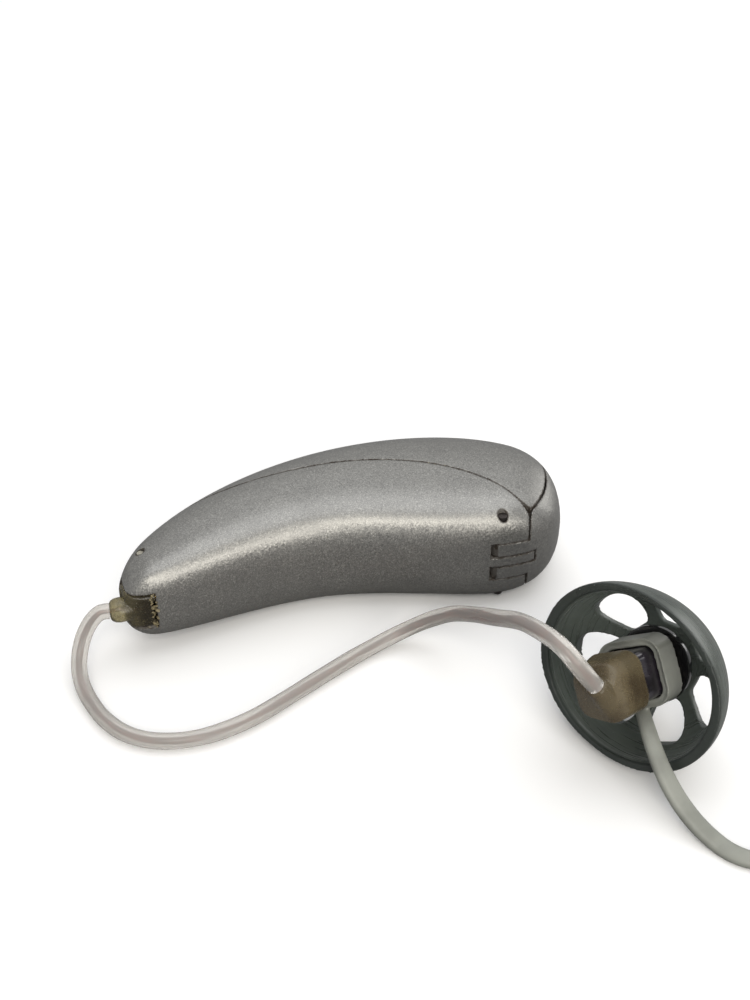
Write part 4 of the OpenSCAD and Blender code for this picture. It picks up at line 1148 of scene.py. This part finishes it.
class AID_OT_dome(Maker, bpy.types.Operator):
    """Open silicone dome with its vent windows, and its hub"""

    bl_idname = "aid.dome"
    bl_label = "Dome"

    HUB = [
        (0, 1), (0, 2.12), (0.06, 2.18), (0.2, 2.2), (0.38, 2.16), (0.45, 2.05),
        (0.47, 1.62), (0.6, 1.45), (2, 1.44), (2.1, 1.36), (2.1, 1),
    ]
    ARC_STEPS, BEAD_STEPS, SEGMENTS, OFF_FLOOR, SLACK = 28, 16, 144, 0.01, 0.15

    def make(self, scene):
        d, rim = scene.aid_dome, scene.aid_dome.diameter / 2
        _, rolled = receiver_axes()
        angles = [math.pi / 2 * i / self.ARC_STEPS for i in range(self.ARC_STEPS + 1)]

        def arc(a, inset):
            across = rim - d.crown - inset
            return (d.height - inset) * math.sin(a), d.crown + across * math.cos(a)

        profile = [arc(a, 0) for a in angles] + [arc(a, d.skin) for a in reversed(angles)]
        skirt = lathe("dome_skirt", profile, self.SEGMENTS, True, 1)
        turns = [2 * math.pi * k / self.BEAD_STEPS for k in range(self.BEAD_STEPS)]
        bead = [(d.bead + d.bead * math.sin(a), rim - d.bead + d.bead * math.cos(a)) for a in turns]
        edge = lathe("dome_edge", bead, self.SEGMENTS, True, 1)
        finish = silicone()
        dome = moulded("dome_skirt", [self.vented(skirt, d, finish), edge], 0.075, 3)
        self.mark_and_bend(dome, d)
        turned(dome, rolled)
        for v in dome.data.vertices:
            v.co.z = max(v.co.z, self.OFF_FLOOR * MM)
        smooth_shade(dome, 60)
        dressed(dome, "case", "dome_silicone", finish, "dome")
        hub = turned(lathe("dome_hub_ring", [(HUB_AT + x, y) for x, y in self.HUB], 96, True), rolled)
        smooth_shade(hub, 35)
        f = Finish("hub_gloss", Coat_Weight=0.8, Coat_Roughness=0.06, Specular_IOR_Level=0.6)
        smear = f.noise(0.6, 4, 0.6)
        worn = f.mix(smear.over(0.5, 0.75) * 0.5, (0.012, 0.012, 0.013), (0.06, 0.055, 0.05))
        f.look(worn, 0.12 + smear * 0.2)
        f.bump(smear, 0.02, 0.5)
        dressed(hub, "case", "can_gloss", f.material, "dome_hub")

    def vented(self, skirt, d, finish):
        """The skirt with its vent windows taken out by nodes."""
        cutter, g = self.window(d), Growth("vent_windows", Windows="Int", Cutter="Object")
        spots = g.node("GeometryNodeMeshLine", Count=g.given("Windows"), Offset=(0, 0, 0))
        index = g.node("GeometryNodeInputIndex")
        turn = index / g.given("Windows") * (2 * math.pi) + d.window_turn
        wedge = g.node("GeometryNodeObjectInfo", out="Geometry", Object=g.given("Cutter"))
        turn = g.node("CombineXYZ", X=turn)
        copies = g.node("GeometryNodeInstanceOnPoints", Points=spots, Instance=wedge, Rotation=turn)
        real = g.node("GeometryNodeRealizeInstances", _0=copies)
        how = {"operation": "DIFFERENCE", "solver": "EXACT"}
        left = g.node("GeometryNodeMeshBoolean", how, Mesh_1=g.given(), Mesh_2=real)
        skirt = g.grown(skirt, left, finish, Windows=d.windows, Cutter=cutter)
        drop(cutter)
        return skirt

    def window(self, d):
        """The rounded wedge that one vent window takes out of the skirt."""
        inner, outer, half = d.hub / 2 + d.skin / 3, d.window_out, d.window_half
        corners = [
            (outer, -half), (outer * 1.03, 0), (outer, half),
            (inner, half), (inner * 0.96, 0), (inner, -half),
        ]
        outline = [np.array(polar(*corner)) for corner in corners]
        for _ in range(3):
            pairs = zip(outline, outline[1:] + outline[:1])
            outline = [a + (b - a) * f for a, b in pairs for f in (0.25, 0.75)]
        points = [(h * MM, *p) for h in (-1, 8) for p in outline]
        return skin("window_cutter", points, len(outline))

    def mark_and_bend(self, dome, d):
        """Marks the silicone's lie, and gives the skirt the slack, slightly oval hang it has."""
        mesh, rim = dome.data, d.diameter / 2
        toward, around = [], []
        for v in mesh.vertices:
            radius, angle = math.hypot(v.co.y, v.co.z), math.atan2(v.co.z, v.co.y)
            toward.append(1 - max(v.co.x, 0) / d.height)
            around.append(angle)
            share = min(1, max(0, (radius - d.crown) / (rim - d.crown))) ** 2
            bend = 1 + share * d.oval * (math.cos(2 * (angle - d.hang_turn)) - self.SLACK)
            v.co.y *= bend
            v.co.z *= bend
        for label, values in (("toward_rim", toward), ("round_way", around)):
            mesh.attributes.new(label, "FLOAT", "POINT").data.foreach_set("value", values)


class AID_OT_lock(Maker, bpy.types.Operator):
    """The retention lock: a squarish collar and its long soft tail"""

    bl_idname = "aid.lock"
    bl_label = "Retention lock"

    GAP, STEPS, SQUARE = 0.05, 110, 0.7

    def make(self, scene):
        r, colour = scene.aid_receiver, tints().lock
        _, rolled = receiver_axes()
        low = COLLAR_AT * MM
        high = low + r.collar_length
        inside = [side + 2 * self.GAP * MM for side in (r.can_width, r.can_height)]
        outside = [side + 2 * r.collar_wall for side in inside]
        room = block("collar_room", low - MM, high + MM, *inside, CAN_CORNER, 0.1)
        collar = turned(carved(block("collar", low, high, *outside, 1.05, 0.2), room), rolled)
        route = [Vector(p) * MM for p in TAIL_ROUTE]
        shares = [min(i / self.STEPS, 0.9999) for i in range(self.STEPS)]
        path = [Vector(rail(route, share)) for share in shares] + [route[-1]]

        def outline(share, angle):
            end = math.sqrt(max(rise(1 - share * 0.999, 0.12), 0.02))
            full = 0.72 + 0.28 * math.sin(math.pi * min(share / 0.9, 1))
            half = r.tail_width / 2 * full * (1 - 0.25 * share * share) * end
            c, s = (math.copysign(abs(x) ** self.SQUARE, x) for x in (math.cos(angle), math.sin(angle)))
            return half * c, r.tail_thick / 2 * end * s

        lock = moulded("lock_moulding_body", [collar, sweep("tail", path, outline, 24)], 0.075, 4)
        smooth_shade(lock, 60)
        f = resin("lock_pale", colour, dimmed(colour, 0.8), 0.2, 2.0)
        f.set(Roughness=(f.noise(0.5, 3) * 0.2 + 0.32).held())
        dressed(lock, "case", "lock_moulding", f.material, "retention_lock")


OPERATORS = [
    AID_OT_stage, AID_OT_wire, AID_OT_case, AID_OT_door, AID_OT_controls,
    AID_OT_inside, AID_OT_plug, AID_OT_receiver, AID_OT_dome, AID_OT_lock,
]


class AID_PT_panel(bpy.types.Panel):
    """Lists the pieces of the hearing aid"""

    bl_idname = "AID_PT_panel"
    bl_label = "Hearing aid"
    bl_space_type = "VIEW_3D"
    bl_region_type = "UI"
    bl_category = "Hearing aid"

    def draw(self, context):
        for operator in OPERATORS:
            self.layout.operator(operator.bl_idname)


GROUPS = {
    "aid_case": CaseSizes, "aid_wire": WireSizes, "aid_receiver": ReceiverSizes,
    "aid_dome": DomeSizes, "aid_tints": Tints,
}


def register():
    for cls in [*GROUPS.values(), *OPERATORS, AID_PT_panel]:
        bpy.utils.register_class(cls)
    for name, group in GROUPS.items():
        setattr(bpy.types.Scene, name, PointerProperty(type=group))


def unregister():
    for name in GROUPS:
        delattr(bpy.types.Scene, name)
    for cls in reversed([*GROUPS.values(), *OPERATORS, AID_PT_panel]):
        bpy.utils.unregister_class(cls)


def main():
    register()
    for operator in OPERATORS:
        group, name = operator.bl_idname.split(".")
        getattr(getattr(bpy.ops, group), name)()


if __name__ == "__main__":
    main()
